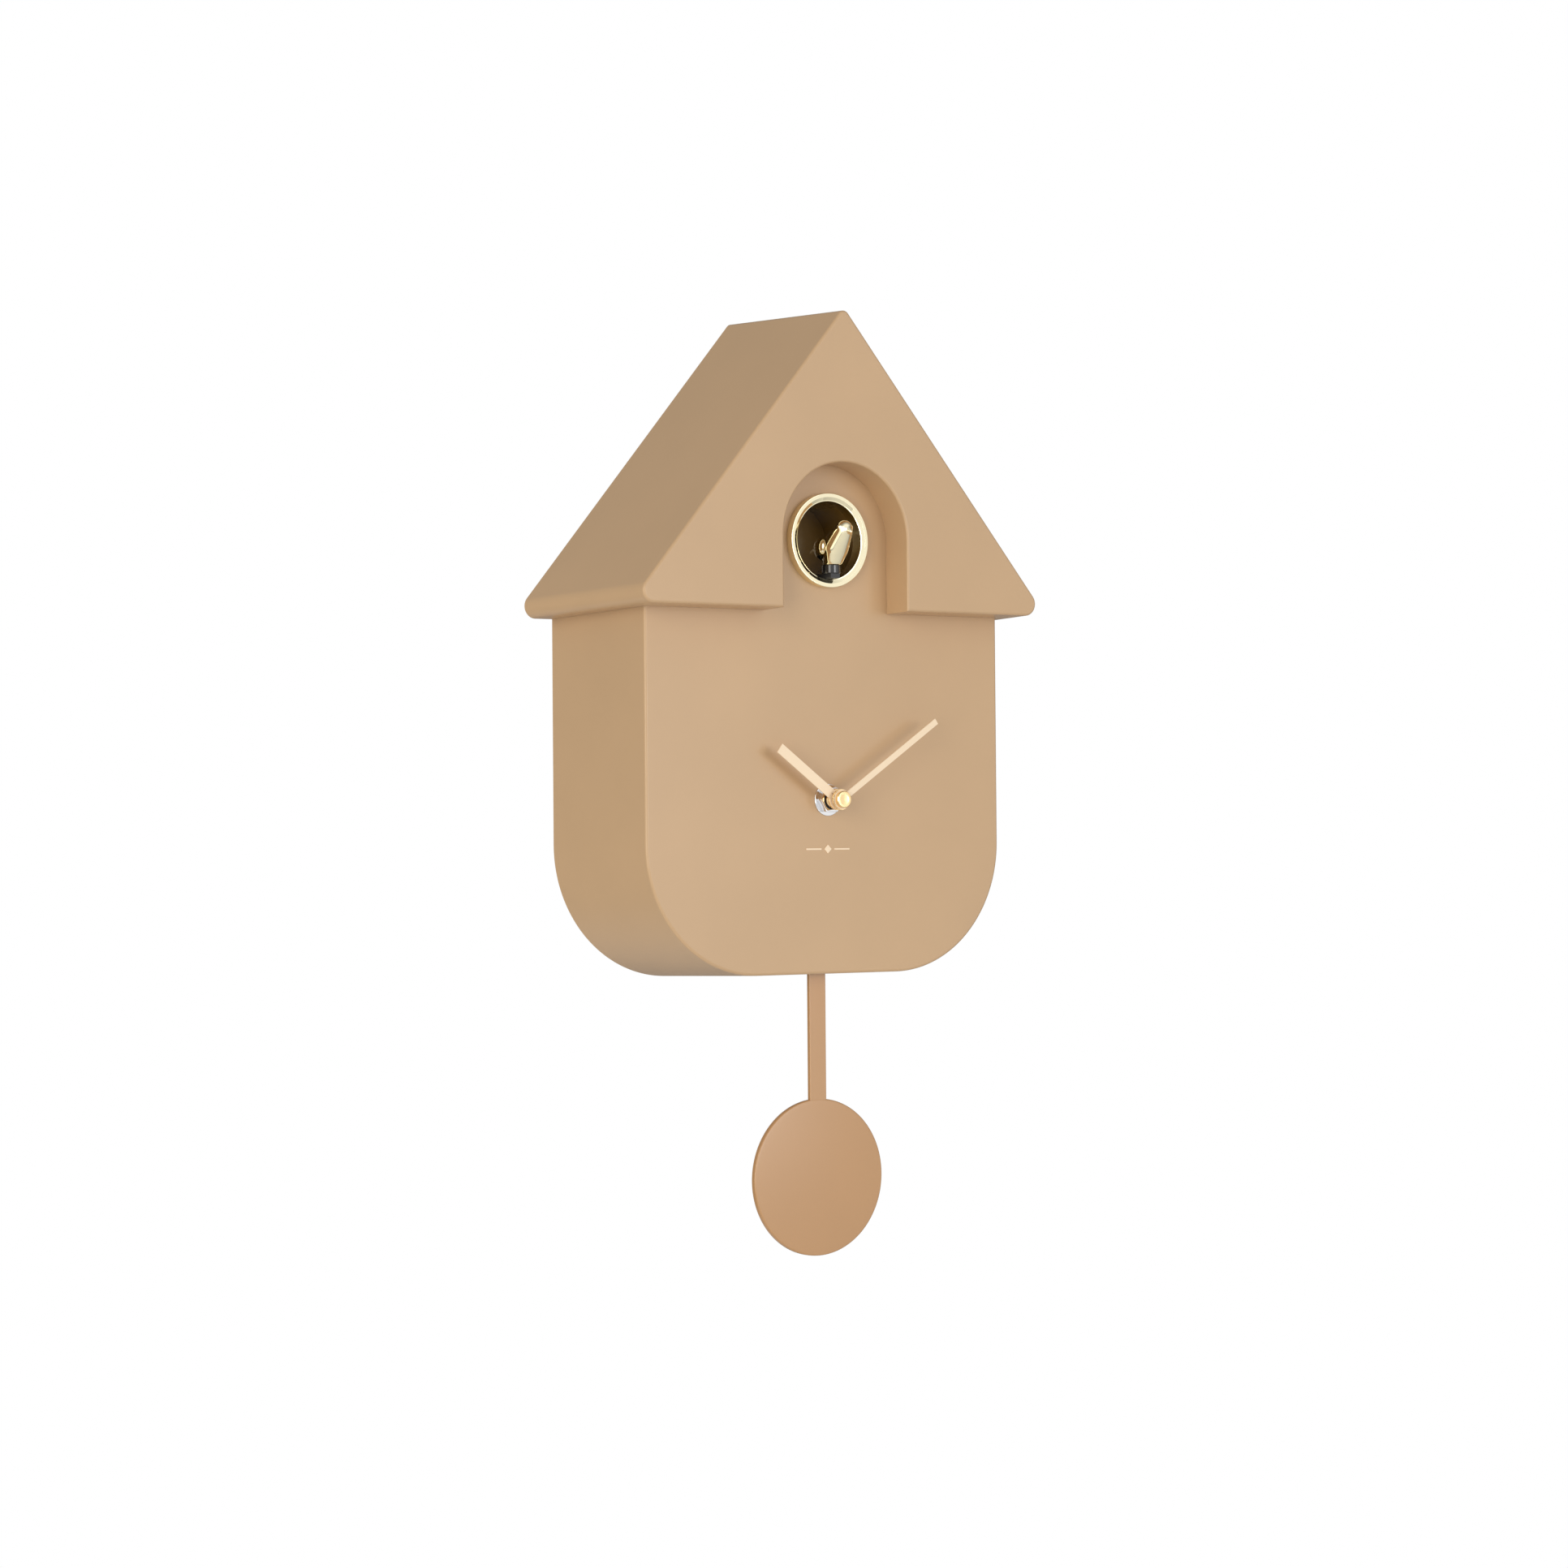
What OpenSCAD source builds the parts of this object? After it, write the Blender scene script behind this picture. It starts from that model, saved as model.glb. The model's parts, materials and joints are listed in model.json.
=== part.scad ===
// Modern wall cuckoo clock: gabled roof over a round-bottomed body, quartz pendulum movement,
// motor-driven cuckoo on a rack, sound board with speaker and a battery tray in the back.
// The origin is the centre of the hanger plate's screw-head hole. The wall is the plane y = 0
// and the clock faces -Y. Inside place() heights are counted from the bottom of the body.

/* [Body] */
// Half the width of the body at its front face
body_hw = 92.9; // [91:0.1:95]
// Distance from the wall to the front face of the body
body_depth = 70.3; // [70.3:0.1:72]
// Radius of the two bottom corners
body_corner = 56; // [50:1:60]
// Growth of the outline from front to back
body_draft = 1.66; // [1:0.1:2]
// Thickness of the moulded shells
wall = 2.5; // [2.4:0.1:2.6]

/* [Roof] */
// Distance from the wall to the front face of the roof
roof_depth = 85.8; // [85:0.1:88]
// Height at which the two slopes meet, before rounding
ridge_z = 285; // [283:1:287]
// Height of the eaves' underside at the front
eave_z = 155.6; // [155:0.1:156]
// Angle of each slope from level
roof_angle = 49.77; // [49.5:0.01:50]
// Growth of the outline from front to back
roof_draft = 2.34; // [2:0.01:2.5]
// Half the width of the arched niche
arch_hw = 32.5; // [31:0.1:33]
// Height of the centre of the arch
arch_z = 186; // [185.9:0.1:187]

/* [Window and bird] */
// Height of the centre of the window ring
ring_z = 185.9; // [185.9:0.1:186]
// Outer radius of the window ring
ring_ro = 20.3; // [20:0.1:21]
// Inner radius of the window ring
ring_ri = 16.8; // [16.7:0.1:16.8]
// How far the ring stands out from the body
ring_out = 3.7; // [3:0.1:4]
// Distance from the wall to the bird's stand
bird_y = 74.5; // [74:0.1:77]

/* [Dial] */
// Height of the axis of the hands
dial_z = 74.6; // [74:0.1:76]
// Length of the minute hand
minute_len = 61.3; // [60:0.1:63]
// Width of the minute hand
minute_w = 2.7; // [2:0.1:3]
// Length of the hour hand
hour_len = 37.2; // [36:0.1:40]
// Width of the hour hand
hour_w = 4.4; // [3:0.1:5]
// Angle of the minute hand, clockwise from twelve
minute_a = 56.3; // [0:0.1:360]
// Angle of the hour hand, clockwise from twelve
hour_a = 306; // [0:0.1:360]
// Radius of the chrome washer on the neck
washer_r = 6.9; // [6.5:0.1:7]

/* [Pendulum] */
// Height of the pendulum's pivot
pivot_z = 38; // [37:0.5:38]
// Width of the rod
rod_w = 8.6; // [8:0.1:9]
// Radius of the disc
disc_r = 33.7; // [30:0.1:35]
// Height of the centre of the disc
disc_z = -87.7; // [-90:0.1:-86]
// Distance from the wall to the front of the rod
rod_y = 62; // [61.5:0.1:62.5]
// How far the disc stands in front of the rod
disc_proud = 0.9; // [0.5:0.1:1]
// Height of the disc's slight crown
disc_dome = 0.8; // [0.3:0.1:0.9]

/* [Hanger] */
// Height of the screw-head hole
hanger_z = 238; // [236:1:240]
// Radius of the screw-head hole
hanger_r = 4.5; // [4.4:0.1:4.6]
// Thickness of the steel hanger plate
hanger_t = 2; // [1.8:0.1:2.2]

/* [Hidden] */

e = 0.01;                               // thickness of a slice inside a hull
over = 1;                               // how far a cut runs past a face
gap = 0.25;                             // gap between parts that are not a fit
fit = 0.06;                             // radial clearance of a running fit
fillet = 1.5;                           // rounding of the shells' front edges
inner_y = -body_depth + wall;           // inner face of the body's front panel
body_top = 165.5;                       // top of the body's side walls, inside the roof
body_arc_x = body_hw - body_corner;     // centre of a bottom corner
cover_t = 2.5;                          // thickness of the back covers
apex_r = 3;                             // rounding of the ridge
eave_r = 5.3;                             // rounding of the eaves
collar = 2.4;                           // wall of the arch's collar
screw_r = 1.5;                          // shank of a cover screw
screw_head_r = 2.8;
boss_r = 4;
// Places of the cover screws, [x, z]
body_screws = [[-84, 146], [84, 146], [-50, 10], [50, 10]];
roof_screws = [[-74, 188], [74, 188], [0, 266]];

module place() { translate([0, 0, -hanger_z]) children(); }

// A cylinder along +Y that starts at y0 and is len long
module rod_along_y(x, z, y0, len, r, fn = 48) {
    translate([x, y0, z]) rotate([-90, 0, 0]) cylinder(r = r, h = len, $fn = fn);
}

// A cylinder along +X that starts at x0 and is len long
module rod_along_x(y, z, x0, len, r, fn = 48) {
    translate([x0, y, z]) rotate([0, 90, 0]) cylinder(r = r, h = len, $fn = fn);
}

// A box given by its two corners
module block(a, b) { translate(a) cube([b[0] - a[0], b[1] - a[1], b[2] - a[2]]); }

// A flat outline drawn in x and z, extruded from y0 towards the back
module plate_y(y0, t) { translate([0, y0 + t, 0]) rotate([90, 0, 0]) linear_extrude(t) children(); }

// ---- outlines of the shells ----

// One slice of the body's outline at depth y, grown by grow
module body_slice(y, grow) {
    for (s = [-1, 1]) {
        translate([s * body_arc_x, y, body_corner]) rotate([-90, 0, 0])
            cylinder(r = body_corner + grow, h = e, $fn = 96);
        translate([s * (body_hw + grow) - (s + 1) / 2 * 2, y, body_top - 2]) cube([2, e, 2]);
    }
}

// The body's solid outline with rounded front edges, shrunk by inset and started at y0
module body_form(inset, y0, y1) {
    hull() {
        body_slice(y0, -inset - fillet);
        body_slice(y0 + 0.3 * fillet, -inset - 0.4 * fillet);
        body_slice(y0 + fillet, -inset);
        body_slice(y1 - e, body_draft - inset);
    }
}

// One slice of the roof's outline at depth y: the slopes and eaves are set out by draft,
// then the rounded outline is grown by grow
module roof_slice(y, draft, grow) {
    ridge = ridge_z + draft / cos(roof_angle);
    eave_cz = eave_z - draft + eave_r;
    eave_cx = (ridge - eave_cz) / tan(roof_angle) - eave_r / sin(roof_angle);
    rod_along_y(0, ridge - apex_r / cos(roof_angle), y, e, apex_r + grow, 32);
    for (s = [-1, 1]) rod_along_y(s * eave_cx, eave_cz, y, e, eave_r + grow, 32);
}

module roof_outer() {
    hull() {
        roof_slice(-roof_depth, 0, -fillet);
        roof_slice(-roof_depth + 0.3 * fillet, 0, -0.4 * fillet);
        roof_slice(-roof_depth + fillet, 0, 0);
        roof_slice(-e, roof_draft, 0);
    }
}

module roof_inner() {
    hull() {
        roof_slice(-roof_depth + wall, 0, -wall);
        roof_slice(over, roof_draft, -wall);
    }
}

// The arch's opening, grown by grow, from the eaves up
module arch_form(grow, y0, y1) {
    plate_y(y0, y1 - y0) {
        translate([0, arch_z]) circle(r = arch_hw + grow, $fn = 96);
        translate([-arch_hw - grow, eave_z - 5]) square([2 * (arch_hw + grow), arch_z - eave_z + 5]);
    }
}

// The body's back outline as exact arcs and squares, shrunk by inset
module body_back_outline(inset) {
    hw = body_hw + body_draft - inset;
    r = body_corner + body_draft - inset;
    for (s = [-1, 1]) translate([s * body_arc_x, body_corner]) circle(r = r, $fn = 96);
    translate([-hw, body_corner]) square([2 * hw, body_top - body_corner]);
    translate([-body_arc_x, body_corner - r]) square([2 * body_arc_x, r]);
}

// ---- shells, covers and hanger ----

module body_shell() color([0.79, 0.67, 0.55]) place() {
    tab_top = arch_z + arch_hw + 5;
    slot_hw = 12;
    difference() {
        union() {
            difference() {
                body_form(0, -body_depth, 0);
                body_form(wall, inner_y, over);
                block([-body_hw + 3, inner_y, body_top - 3], [body_hw - 3, over, body_top + over]);
            }
            // the panel behind the niche
            plate_y(-body_depth, wall) difference() {
                union() {
                    translate([0, arch_z]) circle(r = arch_hw + 4, $fn = 96);
                    translate([-arch_hw - 4, body_top - 1])
                        square([2 * arch_hw + 8, arch_z - body_top + 1]);
                }
            }
            for (p = body_screws) rod_along_y(p[0], p[1], inner_y, -inner_y - cover_t, boss_r);
        }
        for (p = body_screws) rod_along_y(p[0], p[1], -20, 20, screw_r + 0.02, 32);
        rod_along_y(0, dial_z, -body_depth - over, wall + 2 * over, neck_r + fit);
        rod_along_y(0, ring_z, -body_depth - over, wall + 2 * over, ring_sleeve_r + fit, 96);
        block([-slot_hw, -rod_y - 2.2, -5], [slot_hw, -rod_y + 4.2, 6]);
    }
}

module roof_shell() color([0.79, 0.67, 0.55]) place() {
    difference() {
        union() {
            difference() {
                roof_outer();
                roof_inner();
            }
            intersection() {
                roof_outer();
                arch_form(collar, -roof_depth + 1, -body_depth - 0.1);
            }
            for (p = roof_screws) rod_along_y(p[0], p[1], -14, 14 - cover_t - 0.01, boss_r);
            // ribs that tie the bosses to the slopes
            for (s = [-1, 1]) mirror([s < 0 ? 1 : 0, 0, 0])
                block([74, -14, 186.5], [83.5, -cover_t - 0.01, 189.5]);
            block([-1.5, -14, 265], [1.5, -cover_t - 0.01, 284]);
        }
        for (p = roof_screws) rod_along_y(p[0], p[1], -13, 14, screw_r + 0.02, 32);
        arch_form(0, -roof_depth - over, -body_depth + over);
        // the body comes up through the eaves
        hull() {
            body_slice(-body_depth - 0.1, 0.15);
            body_slice(over, body_draft + 0.2);
        }
    }
}

module body_cover() color([0.74, 0.62, 0.50]) place() {
    difference() {
        plate_y(-cover_t, cover_t) body_back_outline(wall + 0.3);
        for (p = body_screws) {
            rod_along_y(p[0], p[1], -cover_t - over, cover_t + 2 * over, screw_r + 0.1, 32);
            rod_along_y(p[0], p[1], -1.2, 1.2 + over, screw_head_r + 0.2, 32);
        }
        rod_along_y(knob_x, knob_z, -cover_t - over, cover_t + 2 * over, knob_r + 1.5);
        block([door_x0 - gap, -cover_t - over, door_z0 - gap],
            [door_x1 + gap, over, door_z1 + gap]);
        // slots in front of the speaker
        for (i = [-4 : 4]) {
            half = sqrt(pow(17, 2) - pow(i * 3.6, 2));
            block([speaker_x - half, -cover_t - over, speaker_z + i * 3.6 - 0.7],
                [speaker_x + half, over, speaker_z + i * 3.6 + 0.7]);
        }
        block([switch_x - 5, -cover_t - over, switch_z - 1.7], [switch_x + 5, over, switch_z + 1.7]);
        rod_along_x(hinge_y, hinge_z, door_x0 - 2.6, door_x1 - door_x0 + 5.2, trunnion_r + fit, 32);
    }
}

module roof_cover() color([0.74, 0.62, 0.50]) place() {
    base = eave_z - roof_draft + wall + 0.4;
    top = ridge_z + (roof_draft - wall - 0.4) / cos(roof_angle);
    cut_w = 3;
    cut_z = top - cut_w * tan(roof_angle);
    foot_w = (top - base) / tan(roof_angle) - 3;
    foot_z = top - foot_w * tan(roof_angle);
    difference() {
        plate_y(-cover_t, cover_t) difference() {
            polygon([[-foot_w + 1.5, base], [-foot_w, foot_z], [-cut_w, cut_z], [cut_w, cut_z],
                [foot_w, foot_z], [foot_w - 1.5, base]]);
            translate([-body_hw - body_draft - 0.4, base - over])
                square([2 * (body_hw + body_draft + 0.4), body_top + 0.3 - base + over]);
        }
        for (p = roof_screws) {
            rod_along_y(p[0], p[1], -cover_t - over, cover_t + 2 * over, screw_r + 0.1, 32);
            rod_along_y(p[0], p[1], -1.2, 1.2 + over, screw_head_r + 0.2, 32);
        }
        // recess for the hanger plate and room for the screw's head
        block([-hanger_hw - 0.1, -hanger_t, hanger_z - 12.1], [hanger_hw + 0.1, over, hanger_z + 18.1]);
        block([-6.5, -cover_t - over, hanger_z - 6.5], [6.5, 0, hanger_z + 12.5]);
        for (x = [-hanger_screw_x, hanger_screw_x])
            rod_along_y(x, hanger_z + 3, -cover_t - over, cover_t, 1.02, 32);
    }
}

module cover_screws() color([0.72, 0.72, 0.74]) place() {
    for (p = concat(body_screws, roof_screws)) {
        difference() {
            union() {
                rod_along_y(p[0], p[1], -11, 10, screw_r, 32);
                rod_along_y(p[0], p[1], -1.15, 1.0, screw_head_r, 32);
            }
            block([p[0] - 2, -0.7, p[1] - 0.3], [p[0] + 2, over, p[1] + 0.3]);
            block([p[0] - 0.3, -0.7, p[1] - 2], [p[0] + 0.3, over, p[1] + 2]);
        }
    }
}

hanger_hw = 14;                         // half the width of the hanger plate
hanger_screw_x = 10;

module hanger_plate() color([0.70, 0.70, 0.72]) place() {
    slot_r = 2.2;
    difference() {
        block([-hanger_hw, -hanger_t, hanger_z - 12], [hanger_hw, 0, hanger_z + 18]);
        rod_along_y(0, hanger_z, -hanger_t - over, hanger_t + 2 * over, hanger_r, 64);
        rod_along_y(0, hanger_z + 10, -hanger_t - over, hanger_t + 2 * over, slot_r, 48);
        block([-slot_r, -hanger_t - over, hanger_z + 2], [slot_r, over, hanger_z + 10]);
        for (x = [-hanger_screw_x, hanger_screw_x]) {
            rod_along_y(x, hanger_z + 3, -hanger_t - over, hanger_t + 2 * over, 1.1, 32);
            rod_along_y(x, hanger_z + 3, -0.8, 0.8 + over, 2.1, 32);
        }
    }
}

module hanger_screws() color([0.72, 0.72, 0.74]) place() {
    for (x = [-hanger_screw_x, hanger_screw_x]) {
        rod_along_y(x, hanger_z + 3, -6, 5.5, 1.0, 32);
        rod_along_y(x, hanger_z + 3, -0.78, 0.7, 2.0, 32);
    }
}

// ---- window, bird and its drive ----

ring_sleeve_r = 18.2;                   // the ring's sleeve in the panel
rail_z = 170;                           // underside of the carriage's wings
arm_z0 = 169.45;                        // underside of the carriage's arm
arm_z1 = 171.5;                         // top of the arm
pin_y = -33;                            // depth of the drive's gear axes
rack_m = 0.5;
pinion_n = 14;
rack_pitch_z = 168.6;
pinion_z = rack_pitch_z - rack_m * pinion_n / 2;
carriage_wheel_n = 42;
reduction_pinion_n = 12;
reduction_z = pinion_z - rack_m * (carriage_wheel_n + reduction_pinion_n) / 2;
motor_m = 0.4;
reduction_wheel_n = 36;
motor_pinion_n = 10;
motor_z = reduction_z - motor_m * (reduction_wheel_n + motor_pinion_n) / 2;
plate_x = 8.4;                          // inner face of each side plate
plate_t = 2;
arm_back_y = -16;
tunnel_r = 18.3;                        // the dark well behind the ring
tunnel_back = 46.3;                     // its closed back, from the wall

module window_ring() color([0.93, 0.80, 0.52]) place() {
    translate([0, 0, ring_z]) rotate([90, 0, 0]) rotate_extrude($fn = 128)
        polygon([[ring_ri, body_depth + ring_out - 0.8],
            [ring_ri + 0.4, body_depth + ring_out - 0.74],
            [ring_ri + 1.75, body_depth + ring_out],
            [ring_ro - 0.6, body_depth + ring_out], [ring_ro, body_depth + ring_out - 0.6],
            [ring_ro, body_depth + 0.02], [ring_sleeve_r, body_depth + 0.02],
            [ring_sleeve_r, body_depth - wall - 0.5], [ring_ri, body_depth - wall - 0.5]]);
}

module bird_tunnel() color([0.16, 0.10, 0.05]) place() {
    y0 = inner_y + 0.6;                 // front of the flange, glued behind the wall
    depth = -y0 - tunnel_back;
    difference() {
        translate([0, -tunnel_back, ring_z]) rotate([90, 0, 0]) rotate_extrude($fn = 96)
            polygon([[0, 0], [tunnel_r, 0], [tunnel_r, depth - 1.5], [23, depth - 1.5], [23, depth],
                [tunnel_r - 1.4, depth], [tunnel_r - 1.4, 1.2], [0, 1.2]]);
        block([-7.4, -63, ring_z - 25], [7.4, -tunnel_back + 2, ring_z - 14]);
    }
}

module dial_ornament() color([0.93, 0.86, 0.74]) place() {
    z = 53.5;
    t = 0.25;
    y0 = -body_depth - t;
    plate_y(y0, t - 0.01) {
        polygon([[0, z - 1.9], [1.9, z], [0, z + 1.9], [-1.9, z]]);
        for (s = [-1, 1]) translate([s * 7.4 - 4, z - 0.35]) square([8, 0.7]);
    }
}

// Gear tooth outline: half widths at root, pitch and tip as parts of the pitch
function tooth_points(n, m, a0) = let (p = 360 / n, r = n * m / 2) [
    for (k = [0 : n - 1]) for (q = [[-0.29, -1.15], [-0.22, 0], [-0.1, 0.85], [0.1, 0.85],
        [0.22, 0], [0.29, -1.15]])
        let (a = a0 + (k + q[0]) * p, rr = r + q[1] * m) [rr * cos(a), rr * sin(a)]];

// Angle of a tooth on gear 2 that meshes with gear 1, for the direction dir from 1 to 2
function mesh_angle(n1, a1, n2, dir) =
    dir + 180 - ((a1 - dir) / (360 / n1)) * (360 / n2) + 180 / n2;

// A gear whose axis is along Y, seen from the front, from y0 towards the back
module gear_y(c, n, m, a0, y0, t) {
    translate([0, y0 + t, 0]) rotate([90, 0, 0]) linear_extrude(t)
        translate([c[0], c[1]]) polygon(tooth_points(n, m, a0));
}

// A gear whose axis is along X at [y, z], drawn with y to the right and z up
module gear_x(c, n, m, a0, x0, t) {
    translate([x0, 0, 0]) rotate([90, 0, 90]) linear_extrude(t)
        translate([c[0], c[1]]) polygon(tooth_points(n, m, a0));
}

bird_z = arm_z1 + 3.72;                 // where the bird stands on its perch
perch_r = 3.9;                          // radius of the perch

// A ball of the bird's body, y behind the middle of the perch and z above it
module bird_ball(y, z, r) { translate([0, -bird_y + y, bird_z + z]) sphere(r = r, $fn = 28); }

// The bird faces the front. Its body is one smooth hull with head, bill and tail.
module bird() color([0.93, 0.80, 0.52]) place() {
    hull() {
        bird_ball(-3, 8, 5.8);
        bird_ball(3, 7, 5.4);
        bird_ball(8, 6.2, 2.8);
    }
    hull() {
        bird_ball(-5, 10, 4.7);
        bird_ball(-9.5, 14.8, 3.8);
    }
    hull() {
        bird_ball(-10, 14.7, 2.8);
        bird_ball(-14.6, 13.2, 0.6);
    }
    hull() {
        bird_ball(6, 6.6, 3);
        bird_ball(14.8, 5.8, 0.9);
    }
    hull() {
        translate([0, -bird_y, bird_z]) cylinder(r = perch_r - 0.1, h = 0.5, $fn = 32);
        bird_ball(-2, 6.2, 5);
    }
}

module perch() color([0.03, 0.03, 0.03]) place() {
    translate([0, -bird_y, arm_z1 + 0.01]) cylinder(r = perch_r, h = 3.7, $fn = 64);
}

module carriage() color([0.25, 0.24, 0.23]) place() {
    rack_y0 = -45.7;
    pitch = rack_m * PI;
    teeth = 19;
    block([-2.4, -bird_y - 3, arm_z0], [2.4, arm_back_y, arm_z1]);
    block([-7, -30, rail_z], [7, arm_back_y, arm_z1 - 0.05]);
    // a tooth of the rack stands midway between two teeth of its pinion
    for (i = [0 : teeth - 1]) {
        y = pin_y + (i - 8) * pitch;
        translate([-2.2, y, 0]) rotate([90, 0, 90]) linear_extrude(4.4)
            polygon([[-0.28 * pitch, arm_z0 + 0.1], [-0.22 * pitch, rack_pitch_z],
                [-0.1 * pitch, rack_pitch_z - 0.85 * rack_m],
                [0.1 * pitch, rack_pitch_z - 0.85 * rack_m], [0.22 * pitch, rack_pitch_z],
                [0.28 * pitch, arm_z0 + 0.1]]);
    }
}

wheel_x = plate_x + plate_t + 0.6;      // left face of the outer gears
pinion_a = 90 + 180 / pinion_n;         // a gap of the pinion points up at a rack tooth

module carriage_gear() color([0.90, 0.88, 0.82]) place() {
    gear_x([pin_y, pinion_z], pinion_n, rack_m, pinion_a, -2.1, 4.2);
    gear_x([pin_y, pinion_z], carriage_wheel_n, rack_m, pinion_a, wheel_x, 1.5);
    rod_along_x(pin_y, pinion_z, -plate_x - plate_t - 0.4, wheel_x + 1.5 + plate_x + plate_t + 0.4,
        1.5);
}

module reduction_gear() color([0.90, 0.88, 0.82]) place() {
    a = mesh_angle(carriage_wheel_n, pinion_a, reduction_pinion_n, -90);
    gear_x([pin_y, reduction_z], reduction_pinion_n, rack_m, a, wheel_x - 0.3, 2.1);
    gear_x([pin_y, reduction_z], reduction_wheel_n, motor_m, 0, wheel_x + 1.8, 1.2);
    rod_along_x(pin_y, reduction_z, -plate_x - plate_t - 0.4, wheel_x + 3 + plate_x + plate_t + 0.4,
        1.2);
}

module motor_pinion() color([0.80, 0.66, 0.34]) place() {
    a = mesh_angle(reduction_wheel_n, 0, motor_pinion_n, -90);
    gear_x([pin_y, motor_z], motor_pinion_n, motor_m, a, wheel_x + 1.6, 1.6);
    rod_along_x(pin_y, motor_z, plate_x + plate_t - 4, wheel_x + 3.2 - plate_x - plate_t + 4, 0.75, 32);
}

module cuckoo_motor() color([0.68, 0.69, 0.70]) place() {
    difference() {
        rod_along_x(pin_y, motor_z, plate_x - 14.2, 14.18, 7.7, 64);
        rod_along_x(pin_y, motor_z, plate_x - 5, 6, 0.83, 32);
    }
    rod_along_x(pin_y, motor_z, plate_x - 15.4, 1.3, 2.5, 32);
}

// Two side plates with rails for the carriage, joined by a web with two ears
module cuckoo_frame() color([0.20, 0.20, 0.21]) place() {
    bottom = 132;
    top = 174;
    y0 = -46;
    y1 = -4;
    web_y = -47.5;
    groove = 0.08;
    difference() {
        union() {
            for (s = [-1, 1]) {
                x = s > 0 ? plate_x : -plate_x - plate_t;
                block([x, y0, bottom], [x + plate_t, y1, top]);
                rail_x = s > 0 ? 5.2 : -plate_x;
                block([rail_x, y0, 167.9], [rail_x + plate_x - 5.2, y1, top]);
            }
            block([-20, web_y, bottom], [20, y0 + 0.01, 152]);
        }
        block([-7 - groove, y0 - over, rail_z - groove], [7 + groove, y1 + over, arm_z1 + groove]);
        rod_along_x(pin_y, pinion_z, -12, 24, 1.5 + fit);
        rod_along_x(pin_y, reduction_z, -12, 24, 1.2 + fit);
        rod_along_x(pin_y, motor_z, 0, 12, 1.2);
        for (x = frame_screw_x) rod_along_y(x, frame_screw_z, web_y - over, 4, 1.3, 32);
    }
}

frame_screw_x = [-16, 16];
frame_screw_z = 142;

// Screws through the ears into two posts that stand on the front panel
module frame_screws() color([0.72, 0.72, 0.74]) place() {
    for (x = frame_screw_x) {
        rod_along_y(x, frame_screw_z, -53, 7.2, 1.2, 32);
        rod_along_y(x, frame_screw_z, -45.95, 1.5, 2.4, 32);
        difference() {
            rod_along_y(x, frame_screw_z, inner_y + 0.02, -47.55 - inner_y, 3.2);
            rod_along_y(x, frame_screw_z, -54, 7, 1.22, 32);
        }
    }
}

// ---- quartz movement ----

case_hw = 28;                           // half the side of the square case
case_y0 = inner_y + 0.02;               // front face of the case
case_wall = 1.2;
case_y1 = case_y0 + 14.8;               // rim that the movement's cover closes
cover_y1 = case_y1 + case_wall;
neck_r = 4;
pipe_r = 2.2;                           // hour wheel's pipe
arbor_r = 1.2;
hand_m = 0.5;                           // module of the wheels behind the dial
hour_m = 0.48;
minute_wheel_d = 12;                    // distance from the hands' axis to the minute wheel
pivot_r = 0.6;                          // wheel pivots
plate_y0 = case_y0 + 5.2;               // gear plate between the two trains
plate_y1 = plate_y0 + 1;
// Axes of the wheels, [x, z] from the axis of the hands
m_axis = minute_wheel_d * [cos(225), sin(225)];
k_axis = m_axis + 12 * [cos(270), sin(270)];
third_axis = [0, 14.4];
second_axis = third_axis + 11.9 * [cos(-20), sin(-20)];
inter_axis = second_axis + 9 * [cos(-50), sin(-50)];
rotor_axis = inter_axis + 7 * [cos(-80), sin(-80)];
knob_x = k_axis[0];
knob_z = dial_z + k_axis[1];
knob_r = 7;
// Depth at which each wheel of the time train starts
centre_y = plate_y1 + 0.5;
third_y = centre_y + 1.3;
second_y = third_y + 1.2;
inter_y = second_y + 1.2;
rotor_y = inter_y + 1.1;

module at_hands() place() translate([0, 0, dial_z]) children();

module movement_case() color([0.13, 0.13, 0.14]) at_hands() {
    difference() {
        union() {
            block([-case_hw, case_y0, -case_hw], [case_hw, case_y1, case_hw]);
            rod_along_y(0, 0, -74, case_y0 + 74.5, neck_r);
        }
        block([-case_hw + case_wall, case_y0 + case_wall, -case_hw + case_wall],
            [case_hw - case_wall, case_y1 + over, case_hw - case_wall]);
        rod_along_y(0, 0, -75, 10, pipe_r + fit);
        rod_along_y(m_axis[0], m_axis[1], case_y0 + 0.4, 5, pivot_r + fit, 32);
        rod_along_y(k_axis[0], k_axis[1], case_y0 + 0.4, 5, pivot_r + fit, 32);
    }
    // posts that carry the gear plate
    for (p = [[-24, -24], [24, -24], [-24, 24], [24, 24]])
        rod_along_y(p[0], p[1], case_y0 + case_wall - 0.1, plate_y0 - case_y0 - case_wall + 0.09, 2);
}

module movement_cover() color([0.13, 0.13, 0.14]) at_hands() {
    difference() {
        block([-case_hw, case_y1 + 0.01, -case_hw], [case_hw, cover_y1, case_hw]);
        for (a = [third_axis, second_axis, inter_axis, rotor_axis])
            rod_along_y(a[0], a[1], case_y1 - over, over + 0.8, pivot_r + fit, 32);
        rod_along_y(0, 0, case_y1 - over, over + 0.8, arbor_r + fit);
        rod_along_y(k_axis[0], k_axis[1], case_y1 - over, 4, arbor_r + fit);
    }
}

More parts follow.
